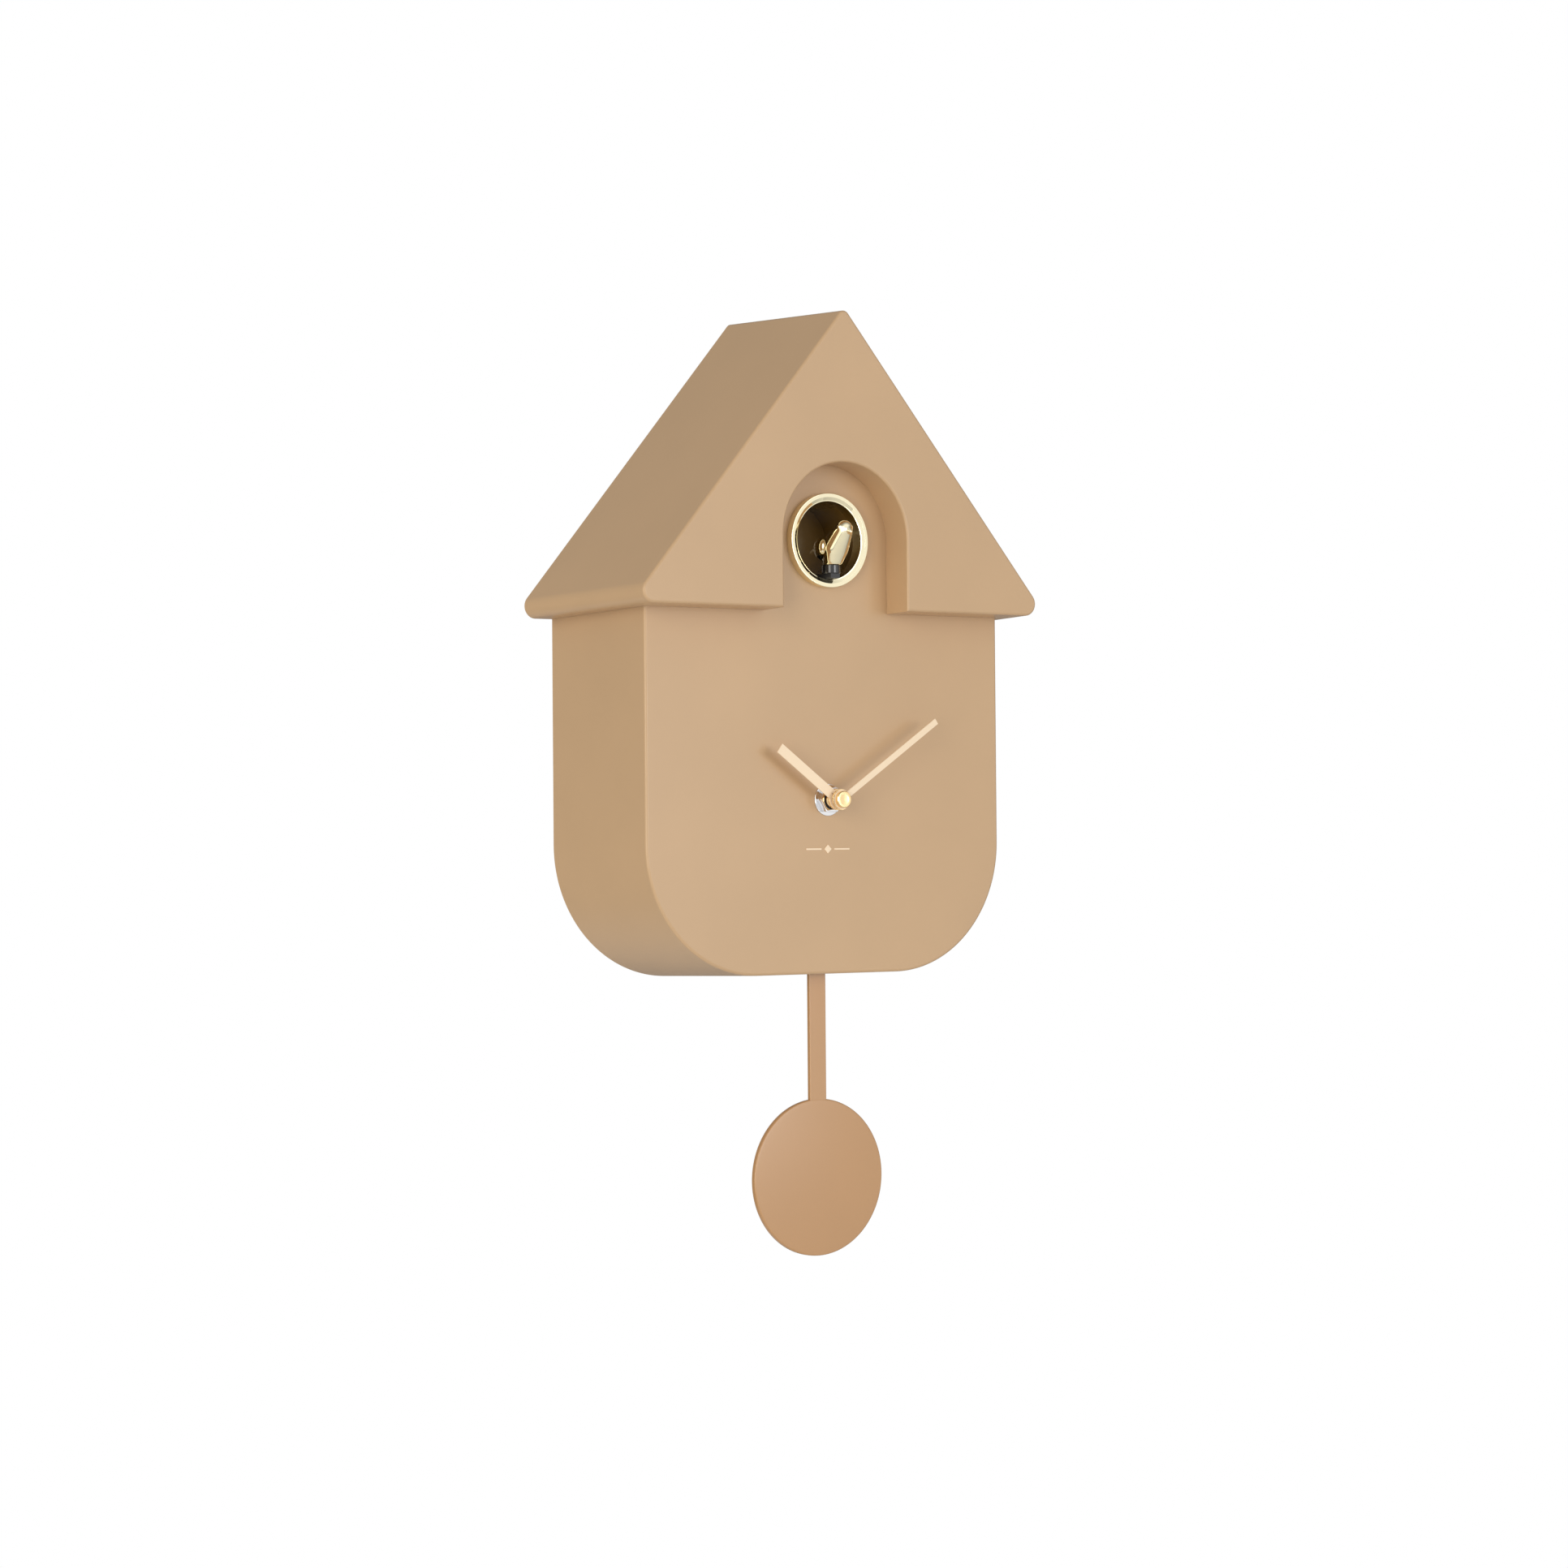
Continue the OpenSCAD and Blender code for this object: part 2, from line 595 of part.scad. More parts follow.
module gear_plate() color([0.82, 0.70, 0.40]) at_hands() {
    hw = case_hw - case_wall - 0.3;
    difference() {
        block([-hw, plate_y0, -hw], [hw, plate_y1, hw]);
        for (a = [m_axis, third_axis, second_axis, inter_axis, rotor_axis])
            rod_along_y(a[0], a[1], plate_y0 - over, 4, pivot_r + fit, 32);
        rod_along_y(0, 0, plate_y0 - over, 4, arbor_r + fit);
        rod_along_y(k_axis[0], k_axis[1], plate_y0 - over, 4, arbor_r + fit);
    }
}

module neck_washer() color([0.85, 0.85, 0.86]) at_hands() {
    difference() {
        rod_along_y(0, 0, -body_depth - 0.62, 0.6, washer_r, 64);
        rod_along_y(0, 0, -body_depth - 1.5, 3, neck_r + 0.05);
    }
}

module neck_nut() color([0.85, 0.85, 0.86]) at_hands() {
    difference() {
        rod_along_y(0, 0, -body_depth - 3.6, 2.97, 6, 6);
        rod_along_y(0, 0, -body_depth - 4, 5, neck_r + 0.02);
    }
}

module circuit_board() color([0.10, 0.35, 0.18]) at_hands() {
    y0 = rotor_y + 2.2;
    block([-25, y0, -14], [-5, y0 + 0.8, 24]);
    rod_along_y(-15, 8, y0 - 1.2, 1.25, 4);
    block([-22, y0 - 1.5, -8], [-14, y0 + 0.05, -5]);
}

coil_z = -21;                           // axis of the motor's coil, from the hands' axis

module motor_coil() color([0.72, 0.36, 0.16]) at_hands() {
    y = rotor_y + 1.1;
    difference() {
        block([-2, y - 1.8, coil_z - 3.4], [13, y + 1.8, coil_z + 3.4]);
        block([-3, y - 0.6, coil_z - 1.6], [14, y + 0.6, coil_z + 1.6]);
    }
}

module stator() color([0.60, 0.60, 0.62]) at_hands() {
    y = rotor_y + 1.1;
    difference() {
        union() {
            block([-4, y - 0.5, coil_z - 1.5], [25, y + 0.5, coil_z + 1.5]);
            block([14.5, y - 0.5, coil_z], [22.5, y + 0.5, 1.5]);
        }
        rod_along_y(rotor_axis[0], rotor_axis[1], y - over, 3, 3.4);
    }
}

// An arbor from the gear plate to the cover, with its two pivots
module arbor(a, r) {
    rod_along_y(a[0], a[1], plate_y1 + 0.2, case_y1 - plate_y1 - 0.4, r);
    rod_along_y(a[0], a[1], plate_y0 + 0.1, case_y1 - plate_y0 + 0.5, pivot_r, 32);
}

// Angles of the teeth, passed down each train
centre_a = 90;
third_p_a = mesh_angle(64, centre_a, 8, 90);
second_p_a = mesh_angle(60, third_p_a, 8, -20);
inter_p_a = mesh_angle(50, second_p_a, 10, -50);
rotor_p_a = mesh_angle(48, inter_p_a, 8, -80);

module rotor() color([0.35, 0.35, 0.37]) at_hands() {
    gear_y(rotor_axis, 8, 0.25, rotor_p_a, inter_y, 0.8);
    rod_along_y(rotor_axis[0], rotor_axis[1], rotor_y, 2.2, 3);
    arbor(rotor_axis, 0.65);
}

module intermediate_wheel() color([0.90, 0.88, 0.82]) at_hands() {
    gear_y(inter_axis, 48, 0.25, inter_p_a, inter_y, 0.7);
    gear_y(inter_axis, 10, 0.3, inter_p_a, second_y, 1.21);
    arbor(inter_axis, 0.8);
}

module second_wheel() color([0.82, 0.70, 0.40]) at_hands() {
    gear_y(second_axis, 50, 0.3, second_p_a, second_y, 0.7);
    gear_y(second_axis, 8, 0.35, second_p_a, third_y, 1.21);
    arbor(second_axis, 0.8);
}

module third_wheel() color([0.82, 0.70, 0.40]) at_hands() {
    gear_y(third_axis, 60, 0.35, third_p_a, third_y, 0.7);
    gear_y(third_axis, 8, 0.4, third_p_a, centre_y, 1.31);
    arbor(third_axis, 0.8);
}

module centre_wheel() color([0.82, 0.70, 0.40]) at_hands() {
    difference() {
        union() {
            gear_y([0, 0], 64, 0.4, centre_a, centre_y, 0.8);
            rod_along_y(0, 0, centre_y, 1.1, 2.6);
        }
        rod_along_y(0, 0, centre_y - over, 4, arbor_r + 0.03);
    }
}

cannon_a = 90;
minute_wheel_a = mesh_angle(12, cannon_a, 36, 225);
hour_wheel_a = mesh_angle(10, minute_wheel_a, 40, 45);
knob_a = mesh_angle(36, minute_wheel_a, 12, 270);
hour_gear_y = case_y0 + case_wall + 0.3;
minute_gear_y = hour_gear_y + 1.9;
cap_y = -83.1;

module minute_arbor() color([0.80, 0.66, 0.34]) at_hands() {
    gear_y([0, 0], 12, hand_m, cannon_a, minute_gear_y - 0.1, 1.4);
    rod_along_y(0, 0, cap_y + 0.6, case_y1 + 0.7 - cap_y - 0.6, arbor_r);
}

module minute_wheel() color([0.90, 0.88, 0.82]) at_hands() {
    gear_y(m_axis, 36, hand_m, minute_wheel_a, minute_gear_y, 1.1);
    gear_y(m_axis, 10, hour_m, minute_wheel_a, hour_gear_y - 0.1, 2.05);
    rod_along_y(m_axis[0], m_axis[1], case_y0 + 0.5, plate_y1 - case_y0 - 0.6, pivot_r, 32);
}

module hour_wheel() color([0.90, 0.88, 0.82]) at_hands() {
    difference() {
        union() {
            gear_y([0, 0], 40, hour_m, hour_wheel_a, hour_gear_y, 1.3);
            rod_along_y(0, 0, -78.35, hour_gear_y + 78.35 + 1.3, pipe_r);
        }
        rod_along_y(0, 0, -79, 20, arbor_r + fit);
    }
}

module setting_knob() color([0.30, 0.30, 0.31]) at_hands() {
    gear_y(k_axis, 12, hand_m, knob_a, minute_gear_y - 0.1, 1.4);
    rod_along_y(k_axis[0], k_axis[1], case_y0 + 0.5, minute_gear_y - case_y0, pivot_r, 32);
    rod_along_y(k_axis[0], k_axis[1], minute_gear_y, -6 - minute_gear_y, arbor_r);
    difference() {
        rod_along_y(k_axis[0], k_axis[1], -7, 6, knob_r, 64);
        for (i = [0 : 15])
            rod_along_y(k_axis[0] + (knob_r + 0.4) * cos(i * 22.5),
                k_axis[1] + (knob_r + 0.4) * sin(i * 22.5), -8, 8, 0.9, 16);
    }
}

// ---- hands ----

hand_t = 0.5;
hour_y = -78.25;
minute_y = -81.25;
boss_hand_r = 4.5;

// A flat hand with a round hub, square end and a hole, angle a clockwise from twelve
module flat_hand(len, w, a, y0, hole) {
    difference() {
        union() {
            rod_along_y(0, 0, y0, hand_t, boss_hand_r - 0.3);
            rotate([0, a, 0]) block([-w / 2, y0, 0], [w / 2, y0 + hand_t, len]);
        }
        rod_along_y(0, 0, y0 - over, hand_t + 2 * over, hole);
    }
}

// A brass bushing that carries a hand
module hand_bushing(y0, len, hole) {
    difference() {
        rod_along_y(0, 0, y0, len, boss_hand_r);
        rod_along_y(0, 0, y0 - over, len + 2 * over, hole);
    }
}

module hour_hand() color([0.95, 0.85, 0.70]) at_hands()
    flat_hand(hour_len, hour_w, hour_a, hour_y, pipe_r + 0.01);

module hour_bushing() color([0.80, 0.66, 0.34]) at_hands()
    hand_bushing(hour_y + hand_t + 0.01, 3.4, pipe_r + 0.01);

module minute_hand() color([0.98, 0.90, 0.76]) at_hands()
    flat_hand(minute_len, minute_w, minute_a, minute_y, arbor_r + 0.01);

module minute_bushing() color([0.80, 0.66, 0.34]) at_hands()
    hand_bushing(minute_y + hand_t + 0.01, 1.7, arbor_r + 0.01);

module hand_cap() color([0.80, 0.66, 0.34]) at_hands() {
    difference() {
        rod_along_y(0, 0, cap_y, minute_y - cap_y - 0.01, 3.65, 64);
        rod_along_y(0, 0, cap_y + 0.5, 3, arbor_r + 0.01);
    }
}

// ---- pendulum ----

module pendulum_bracket() color([0.13, 0.13, 0.14]) place() {
    y0 = inner_y + 0.02;
    y1 = -52;
    difference() {
        block([-11, y0, pivot_z - 6], [11, y1, dial_z - case_hw - 0.02]);
        block([-12, y0 + 1.5, pivot_z - 7], [12, y1 - 1.5, pivot_z + 5]);
        rod_along_y(0, pivot_z, y0 - over, 20, 1.02, 32);
    }
}

module pendulum_pivot() color([0.72, 0.72, 0.74]) place() {
    rod_along_y(0, pivot_z, inner_y + 0.1, 15.6, 1.0, 32);
}

hook_z = 16;                            // height of the stud that carries the rod

module pendulum_hanger() color([0.92, 0.91, 0.88]) place() {
    y0 = -rod_y + 2.02;
    difference() {
        union() {
            rod_along_y(0, pivot_z, y0 - 1, 4, 3.2);
            block([-4, y0, hook_z - 5], [4, y0 + 1.8, pivot_z]);
            rod_along_y(0, hook_z, y0 - 1.9, 2, 1.4, 32);
        }
        rod_along_y(0, pivot_z, y0 - 2, 8, 1.0 + fit, 32);
        rod_along_y(0, hook_z + 9, y0 + 0.6, 2, 3.02, 48);
    }
}

module pendulum_rod() color([0.79, 0.67, 0.55]) place() {
    difference() {
        block([-rod_w / 2, -rod_y, disc_z + 8], [rod_w / 2, -rod_y + 2, hook_z + 5]);
        rod_along_y(0, hook_z, -rod_y - over, 4, 1.42, 32);
        // seat of the disc
        rod_along_y(0, disc_z, -rod_y - over, 1 + over, disc_r + 0.01, 128);
    }
}

module pendulum_disc() color([0.79, 0.67, 0.55]) place() {
    front = rod_y + disc_proud;
    back = front - 3.4;
    crown = [for (k = [0 : 12]) let (r = (disc_r - 0.9) * (1 - k / 12))
        [r, front - disc_dome * pow(r / disc_r, 2)]];
    difference() {
        translate([0, 0, disc_z]) rotate([90, 0, 0]) rotate_extrude($fn = 160)
            polygon(concat([[0, back], [disc_r - 0.8, back], [disc_r, back + 0.6],
                [disc_r, front - disc_dome - 0.6], [disc_r - 0.3, front - disc_dome - 0.2]], crown));
        // groove for the end of the rod
        block([-rod_w / 2 - 0.02, -rod_y + 0.98, disc_z + 7.9],
            [rod_w / 2 + 0.02, -rod_y + 5, disc_z + disc_r + over]);
    }
}

module swing_magnet() color([0.55, 0.55, 0.57]) place() {
    rod_along_y(0, hook_z + 9, -rod_y + 2.63, 1.5, 3, 48);
}

module drive_coil() color([0.72, 0.36, 0.16]) place() {
    y0 = -rod_y + 4.8;
    difference() {
        union() {
            rod_along_y(0, hook_z + 9, y0, 3, 5);
            block([-9, y0 + 3, hook_z + 3], [9, y0 + 4.2, hook_z + 15.9]);
            block([-9, y0 + 3, hook_z + 15], [-5, -50, dial_z - case_hw - 0.1]);
            block([5, y0 + 3, hook_z + 15], [9, -50, dial_z - case_hw - 0.1]);
        }
        rod_along_y(0, hook_z + 9, y0 - over, 3.5, 1.8);
        block([-12, -55, pivot_z - 6.1], [12, -51.9, dial_z - case_hw]);
    }
}

// ---- sound ----

speaker_x = 52;
speaker_z = 62;
switch_x = 52;
switch_z = 100;

module speaker_frame() color([0.25, 0.25, 0.26]) place() {
    y1 = -cover_t - 0.02;
    translate([speaker_x, 0, speaker_z]) rotate([90, 0, 0]) rotate_extrude($fn = 64)
        polygon([[17, -y1], [20, -y1], [20, -y1 + 2], [18.4, -y1 + 2], [11, -y1 + 9],
            [11, -y1 + 10.5], [5, -y1 + 10.5], [5, -y1 + 9], [9.8, -y1 + 9], [9.8, -y1 + 8.4],
            [17, -y1 + 1.5]]);
}

module speaker_cone() color([0.12, 0.12, 0.12]) place() {
    y1 = -cover_t - 0.3;
    translate([speaker_x, 0, speaker_z]) rotate([90, 0, 0]) rotate_extrude($fn = 64)
        polygon([[0, -y1 + 4.2], [4, -y1 + 5.4], [16.8, -y1 + 0.8], [16.8, -y1 + 1.2],
            [4.2, -y1 + 6], [4.2, -y1 + 9], [3.4, -y1 + 9], [3.4, -y1 + 5.9], [0, -y1 + 4.8]]);
}

module speaker_magnet() color([0.60, 0.60, 0.62]) place() {
    y1 = -cover_t - 10.6;
    difference() {
        rod_along_y(speaker_x, speaker_z, y1 - 7, 7, 11);
        rod_along_y(speaker_x, speaker_z, y1 - 3, 4, 4.6);
    }
}

module sound_board() color([0.10, 0.35, 0.18]) place() {
    y0 = -24;
    block([34, y0, 92], [72, y0 + 1.6, 132]);
    block([40, y0 + 1.55, 112], [50, y0 + 3.5, 122]);
    for (x = [56, 64]) rod_along_y(x, 118, y0 + 1.55, 7, 2.5, 32);
    // stand-offs down to the front panel
    for (x = [37, 69]) for (z = [95, 129]) rod_along_y(x, z, inner_y + 0.02, y0 - inner_y, 2, 32);
    // body of the switch
    block([switch_x - 6, y0 + 1.55, switch_z - 4], [switch_x + 6, -7.6, switch_z + 4]);
}

module sound_switch() color([0.88, 0.86, 0.82]) place() {
    block([switch_x - 4.6, -7.5, switch_z - 2.6], [switch_x + 0.6, -cover_t - 0.1, switch_z + 2.6]);
    block([switch_x - 3.5, -cover_t - 0.2, switch_z - 1.5], [switch_x - 0.5, -0.3, switch_z + 1.5]);
}

// ---- batteries ----

cell_r = 7.1;
cell_len = 49.2;
cell_pitch = 15.6;
cell_count = 3;
tray_x0 = -83;
tray_x1 = -24;
tray_z0 = 88;
tray_z1 = tray_z0 + cell_count * cell_pitch + 4.4;
tray_y0 = -21;
door_x0 = tray_x0 + 1;
door_x1 = tray_x1 - 1;
door_z0 = tray_z0 - 3;
door_z1 = tray_z1 - 1;
door_t = 1.8;
hinge_y = -cover_t / 2;                 // the door's trunnions lie in the cover's thickness
hinge_z = door_z0 + door_t / 2;
trunnion_r = 0.6;
cell_y = -11.5;
function cell_z(i) = tray_z0 + 2.2 + (i + 0.5) * cell_pitch;

module battery_tray() color([0.16, 0.16, 0.17]) place() {
    difference() {
        block([tray_x0, tray_y0, tray_z0 - 5], [tray_x1, -cover_t - 0.02, tray_z1]);
        block([tray_x0 + 1.6, tray_y0 + 1.6, tray_z0 + 1.6], [tray_x1 - 1.6, 0, tray_z1 - 1.6]);
        // room for the door's lower edge
        block([door_x0 - gap, -5, tray_z0 - 6], [door_x1 + gap, 0, tray_z0 + 2]);
    }
    // ribs between the cells
    for (i = [1 : cell_count - 1])
        block([tray_x0 + 8, tray_y0 + 1.5, tray_z0 + 1.8 + i * cell_pitch],
            [tray_x1 - 8, tray_y0 + 5, tray_z0 + 2.6 + i * cell_pitch]);
}

module battery_cells() color([0.25, 0.42, 0.62]) place() {
    for (i = [0 : cell_count - 1]) {
        s = i % 2 == 0 ? 1 : -1;
        x = (tray_x0 + tray_x1) / 2 - s * 0.8;
        rod_along_x(cell_y, cell_z(i), x - cell_len / 2, cell_len, cell_r, 64);
        rod_along_x(cell_y, cell_z(i), s > 0 ? x + cell_len / 2 : x - cell_len / 2 - 1.2, 1.2, 2.7, 32);
    }
}

module battery_springs() color([0.80, 0.80, 0.80]) place() {
    for (i = [0 : cell_count - 1]) {
        s = i % 2 == 0 ? 1 : -1;
        flat = s > 0 ? tray_x0 + 1.62 : tray_x1 - 1.92;
        block([flat, cell_y - 5, cell_z(i) - 5], [flat + 0.3, cell_y + 5, cell_z(i) + 5]);
        // conical spring as stacked rings
        for (k = [0 : 2]) {
            x = s > 0 ? tray_x0 + 1.9 + k * 0.55 : tray_x1 - 2.45 - k * 0.55;
            difference() {
                rod_along_x(cell_y, cell_z(i), x, 0.56, 3.6 - k * 0.35, 32);
                rod_along_x(cell_y, cell_z(i), x - over, 3, 2.2 - k * 0.3, 32);
            }
        }
        top = s > 0 ? tray_x1 - 1.92 : tray_x0 + 1.62;
        block([top, cell_y - 5, cell_z(i) - 5], [top + 0.3, cell_y + 5, cell_z(i) + 5]);
    }
}

module battery_door() color([0.74, 0.62, 0.50]) place() {
    mid_x = (door_x0 + door_x1) / 2;
    difference() {
        block([door_x0, hinge_y - door_t / 2, hinge_z], [door_x1, hinge_y + door_t / 2, door_z1]);
        // grooves for a fingertip
        for (i = [0 : 2]) rod_along_x(hinge_y + door_t / 2 + 0.3, door_z1 - 5 - 2.5 * i, mid_x - 9, 18, 0.9, 32);
    }
    rod_along_x(hinge_y, hinge_z, door_x0, door_x1 - door_x0, door_t / 2, 32);
    rod_along_x(hinge_y, hinge_z, door_x0 - 2.2, door_x1 - door_x0 + 4.4, trunnion_r, 32);
}

body_shell();
roof_shell();
body_cover();
roof_cover();
cover_screws();
hanger_plate();
hanger_screws();
window_ring();
bird_tunnel();
dial_ornament();
cuckoo_frame();
frame_screws();
bird();
perch();
carriage();
carriage_gear();
reduction_gear();
motor_pinion();
cuckoo_motor();
movement_case();
movement_cover();
gear_plate();
neck_washer();
neck_nut();
circuit_board();
motor_coil();
stator();
rotor();
intermediate_wheel();
second_wheel();
third_wheel();
centre_wheel();
minute_arbor();
minute_wheel();
hour_wheel();
setting_knob();
minute_bushing();
minute_hand();
hand_cap();
hour_bushing();
hour_hand();
pendulum_bracket();
pendulum_pivot();
pendulum_hanger();
pendulum_rod();
pendulum_disc();
swing_magnet();
drive_coil();
sound_board();
speaker_frame();
speaker_cone();
speaker_magnet();
battery_tray();
battery_cells();
battery_springs();
battery_door();
sound_switch();
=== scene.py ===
"""Looks for a modern wall cuckoo clock: drafted shells, plated ring and bird, bar hands, disc pendulum.

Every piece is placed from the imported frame. Heights called z are counted from the bottom of the
body's front face, as in the design, and Z0 is where that level lies in the frame.
"""
import json
import math

import bmesh
import bpy
from mathutils import Matrix, Vector


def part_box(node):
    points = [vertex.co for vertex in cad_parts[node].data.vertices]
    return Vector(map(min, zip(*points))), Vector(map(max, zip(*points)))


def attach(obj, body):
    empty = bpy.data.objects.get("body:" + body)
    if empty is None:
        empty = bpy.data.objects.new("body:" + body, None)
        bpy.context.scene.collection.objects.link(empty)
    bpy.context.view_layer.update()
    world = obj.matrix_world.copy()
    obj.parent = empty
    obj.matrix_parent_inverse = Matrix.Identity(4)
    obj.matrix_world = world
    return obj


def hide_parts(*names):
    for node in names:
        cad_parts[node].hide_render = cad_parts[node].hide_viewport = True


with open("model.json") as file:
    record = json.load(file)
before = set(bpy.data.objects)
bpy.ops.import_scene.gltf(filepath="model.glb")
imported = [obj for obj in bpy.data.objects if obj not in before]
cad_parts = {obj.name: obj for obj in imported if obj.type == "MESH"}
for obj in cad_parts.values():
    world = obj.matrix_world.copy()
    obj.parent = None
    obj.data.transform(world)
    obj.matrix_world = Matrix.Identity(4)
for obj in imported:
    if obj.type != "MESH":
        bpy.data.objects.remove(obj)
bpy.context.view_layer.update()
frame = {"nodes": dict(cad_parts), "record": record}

MM = 0.001

# ---- dimensions of the design, in millimetres ----
BODY_HW = 92.9                      # half the body's width at its front face
BODY_DRAFT = 1.66                   # growth of the body's outline from front to back
BODY_CORNER = 56.0
BODY_TOP = 165.5                    # top of the side walls, inside the roof
ROOF_DRAFT = 2.34
RIDGE_Z = 285.0
EAVE_Z = 155.6
SLOPE = math.radians(49.77)
APEX_R = 3.0
EAVE_R = 5.3
ARCH_HW = 32.5
ARCH_Z = 186.0
WALL = 2.5
FILLET = 1.3                        # rounding of the shells' front edges
ARCH_FILLET = 1.1                   # rounding of the niche's front edge
COLLAR = 2.4                        # thickness of the niche's wall
SLOT_HW = 12.0                      # half the width of the pendulum's slot
RING_RI = 16.8                      # the window ring's opening
WINDOW_R = 18.3                     # hole in the panel for the ring's sleeve
SLEEVE_R = 18.2                     # outside of the ring's sleeve
NECK_HOLE_R = 4.1                   # hole in the front for the movement's neck
TAB = 4.0                           # reach of the window panel past the niche's sides
DOME = 0.8                          # the pendulum disc's crown
BIRD_CELL = 0.28                    # voxel size of the bird's remesh
FOOT_GAP = 0.02                     # clearance of the bird's foot over its perch
WELD_GAP = 0.02                     # points of a CAD mesh closer than this are one
COARSE = 0.2                        # a grain above this also varies the gloss


def span(node):
    """Lowest and highest corner of a CAD node, in millimetres."""
    low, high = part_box(node)
    return Vector(low) / MM, Vector(high) / MM


Z0 = span("body_shell")[0].z + BODY_DRAFT
BODY_Y = span("body_shell")[0].y    # the body's front face
ROOF_Y = span("roof_shell")[0].y    # the roof's front face
RING_LOW, RING_HIGH = span("window_ring")
RING_Z = (RING_LOW.z + RING_HIGH.z) / 2 - Z0
RING_RO = (RING_HIGH.x - RING_LOW.x) / 2
HUB_LOW, HUB_HIGH = span("hand_cap")
HUB_Z = (HUB_LOW.z + HUB_HIGH.z) / 2 - Z0


# ---- mesh building ----

def new_object(name, bm):
    """An object made from a bmesh whose points are in millimetres, heights from Z0."""
    bmesh.ops.recalc_face_normals(bm, faces=bm.faces)
    mesh = bpy.data.meshes.new(name)
    bm.to_mesh(mesh)
    bm.free()
    mesh.transform(Matrix.Scale(MM, 4) @ Matrix.Translation((0, 0, Z0)))
    obj = bpy.data.objects.new(name, mesh)
    bpy.context.collection.objects.link(obj)
    return obj


def arc(cx, cz, radius, start, end, steps):
    """Points of an arc in x and z, angles in degrees."""
    return [
        (cx + radius * math.cos(math.radians(start + (end - start) * k / steps)),
         cz + radius * math.sin(math.radians(start + (end - start) * k / steps)))
        for k in range(steps + 1)
    ]


def prism(name, sections):
    """A closed solid through outlines of equal length: sections is [(y, [(x, z), ...]), ...]."""
    bm = bmesh.new()
    rings = [[bm.verts.new((x, y, z)) for x, z in outline] for y, outline in sections]
    count = len(rings[0])
    for near, far in zip(rings, rings[1:]):
        for k in range(count):
            bm.faces.new((near[k], near[(k + 1) % count], far[(k + 1) % count], far[k]))
    bm.faces.new(rings[0])
    bm.faces.new(rings[-1])
    return new_object(name, bm)


def lathe(name, profile, steps=160, centre=(0.0, 0.0)):
    """Turns a closed profile of (radius, y) points about the line x, z = centre, along Y."""
    bm = bmesh.new()
    rings = []
    for k in range(steps):
        a = 2 * math.pi * k / steps
        rings.append([
            bm.verts.new((centre[0] + r * math.cos(a), y, centre[1] + r * math.sin(a)))
            for r, y in profile
        ])
    count = len(profile)
    for k in range(steps):
        here, there = rings[k], rings[(k + 1) % steps]
        for i in range(count):
            j = (i + 1) % count
            bm.faces.new((here[i], here[j], there[j], there[i]))
    bmesh.ops.remove_doubles(bm, verts=bm.verts, dist=1e-5)
    bmesh.ops.dissolve_degenerate(bm, edges=bm.edges, dist=1e-6)
    return new_object(name, bm)


def box_solid(name, low, high):
    """A box between two corners."""
    x0, y0, z0 = low
    x1, y1, z1 = high
    outline = [(x0, z0), (x1, z0), (x1, z1), (x0, z1)]
    return prism(name, [(y0, outline), (y1, outline)])


def boolean(target, tool, operation="DIFFERENCE"):
    """Applies one boolean and throws the tool away."""
    modifier = target.modifiers.new(operation, "BOOLEAN")
    modifier.operation = operation
    modifier.solver = "EXACT"
    modifier.object = tool
    depsgraph = bpy.context.evaluated_depsgraph_get()
    mesh = bpy.data.meshes.new_from_object(target.evaluated_get(depsgraph))
    target.modifiers.clear()
    target.data = mesh
    bpy.data.objects.remove(tool)


def finish_shading(obj, angle=28, bevel=0.0, segments=3):
    """Smooth shading with sharp edges kept, and an optional rounding of the sharp edges."""
    for face in obj.data.polygons:
        face.use_smooth = True
    if bevel:
        modifier = obj.modifiers.new("rounding", "BEVEL")
        modifier.width = bevel * MM
        modifier.segments = segments
        modifier.limit_method = "ANGLE"
        modifier.angle_limit = math.radians(angle)
        modifier.harden_normals = False
    else:
        obj.data.set_sharp_from_angle(angle=math.radians(angle))
    weighted = obj.modifiers.new("normals", "WEIGHTED_NORMAL")
    weighted.keep_sharp = True
    weighted.weight = 60


def round_cad(node, bevel, angle=35):
    """Rounds the edges of a CAD node that stays, with modifiers only."""
    obj = frame["nodes"][node]
    weld = obj.modifiers.new("weld", "WELD")
    weld.merge_threshold = WELD_GAP * MM
    modifier = obj.modifiers.new("rounding", "BEVEL")
    modifier.width = bevel * MM
    modifier.segments = 3
    modifier.limit_method = "ANGLE"
    modifier.angle_limit = math.radians(angle)
    weighted = obj.modifiers.new("normals", "WEIGHTED_NORMAL")
    weighted.keep_sharp = False


def quarter(steps):
    """Pairs (along, across) round a quarter circle of radius one, from (0, 1) to (1, 0)."""
    return [
        (1 - math.cos(math.pi / 2 * k / steps), 1 - math.sin(math.pi / 2 * k / steps))
        for k in range(steps + 1)
    ]


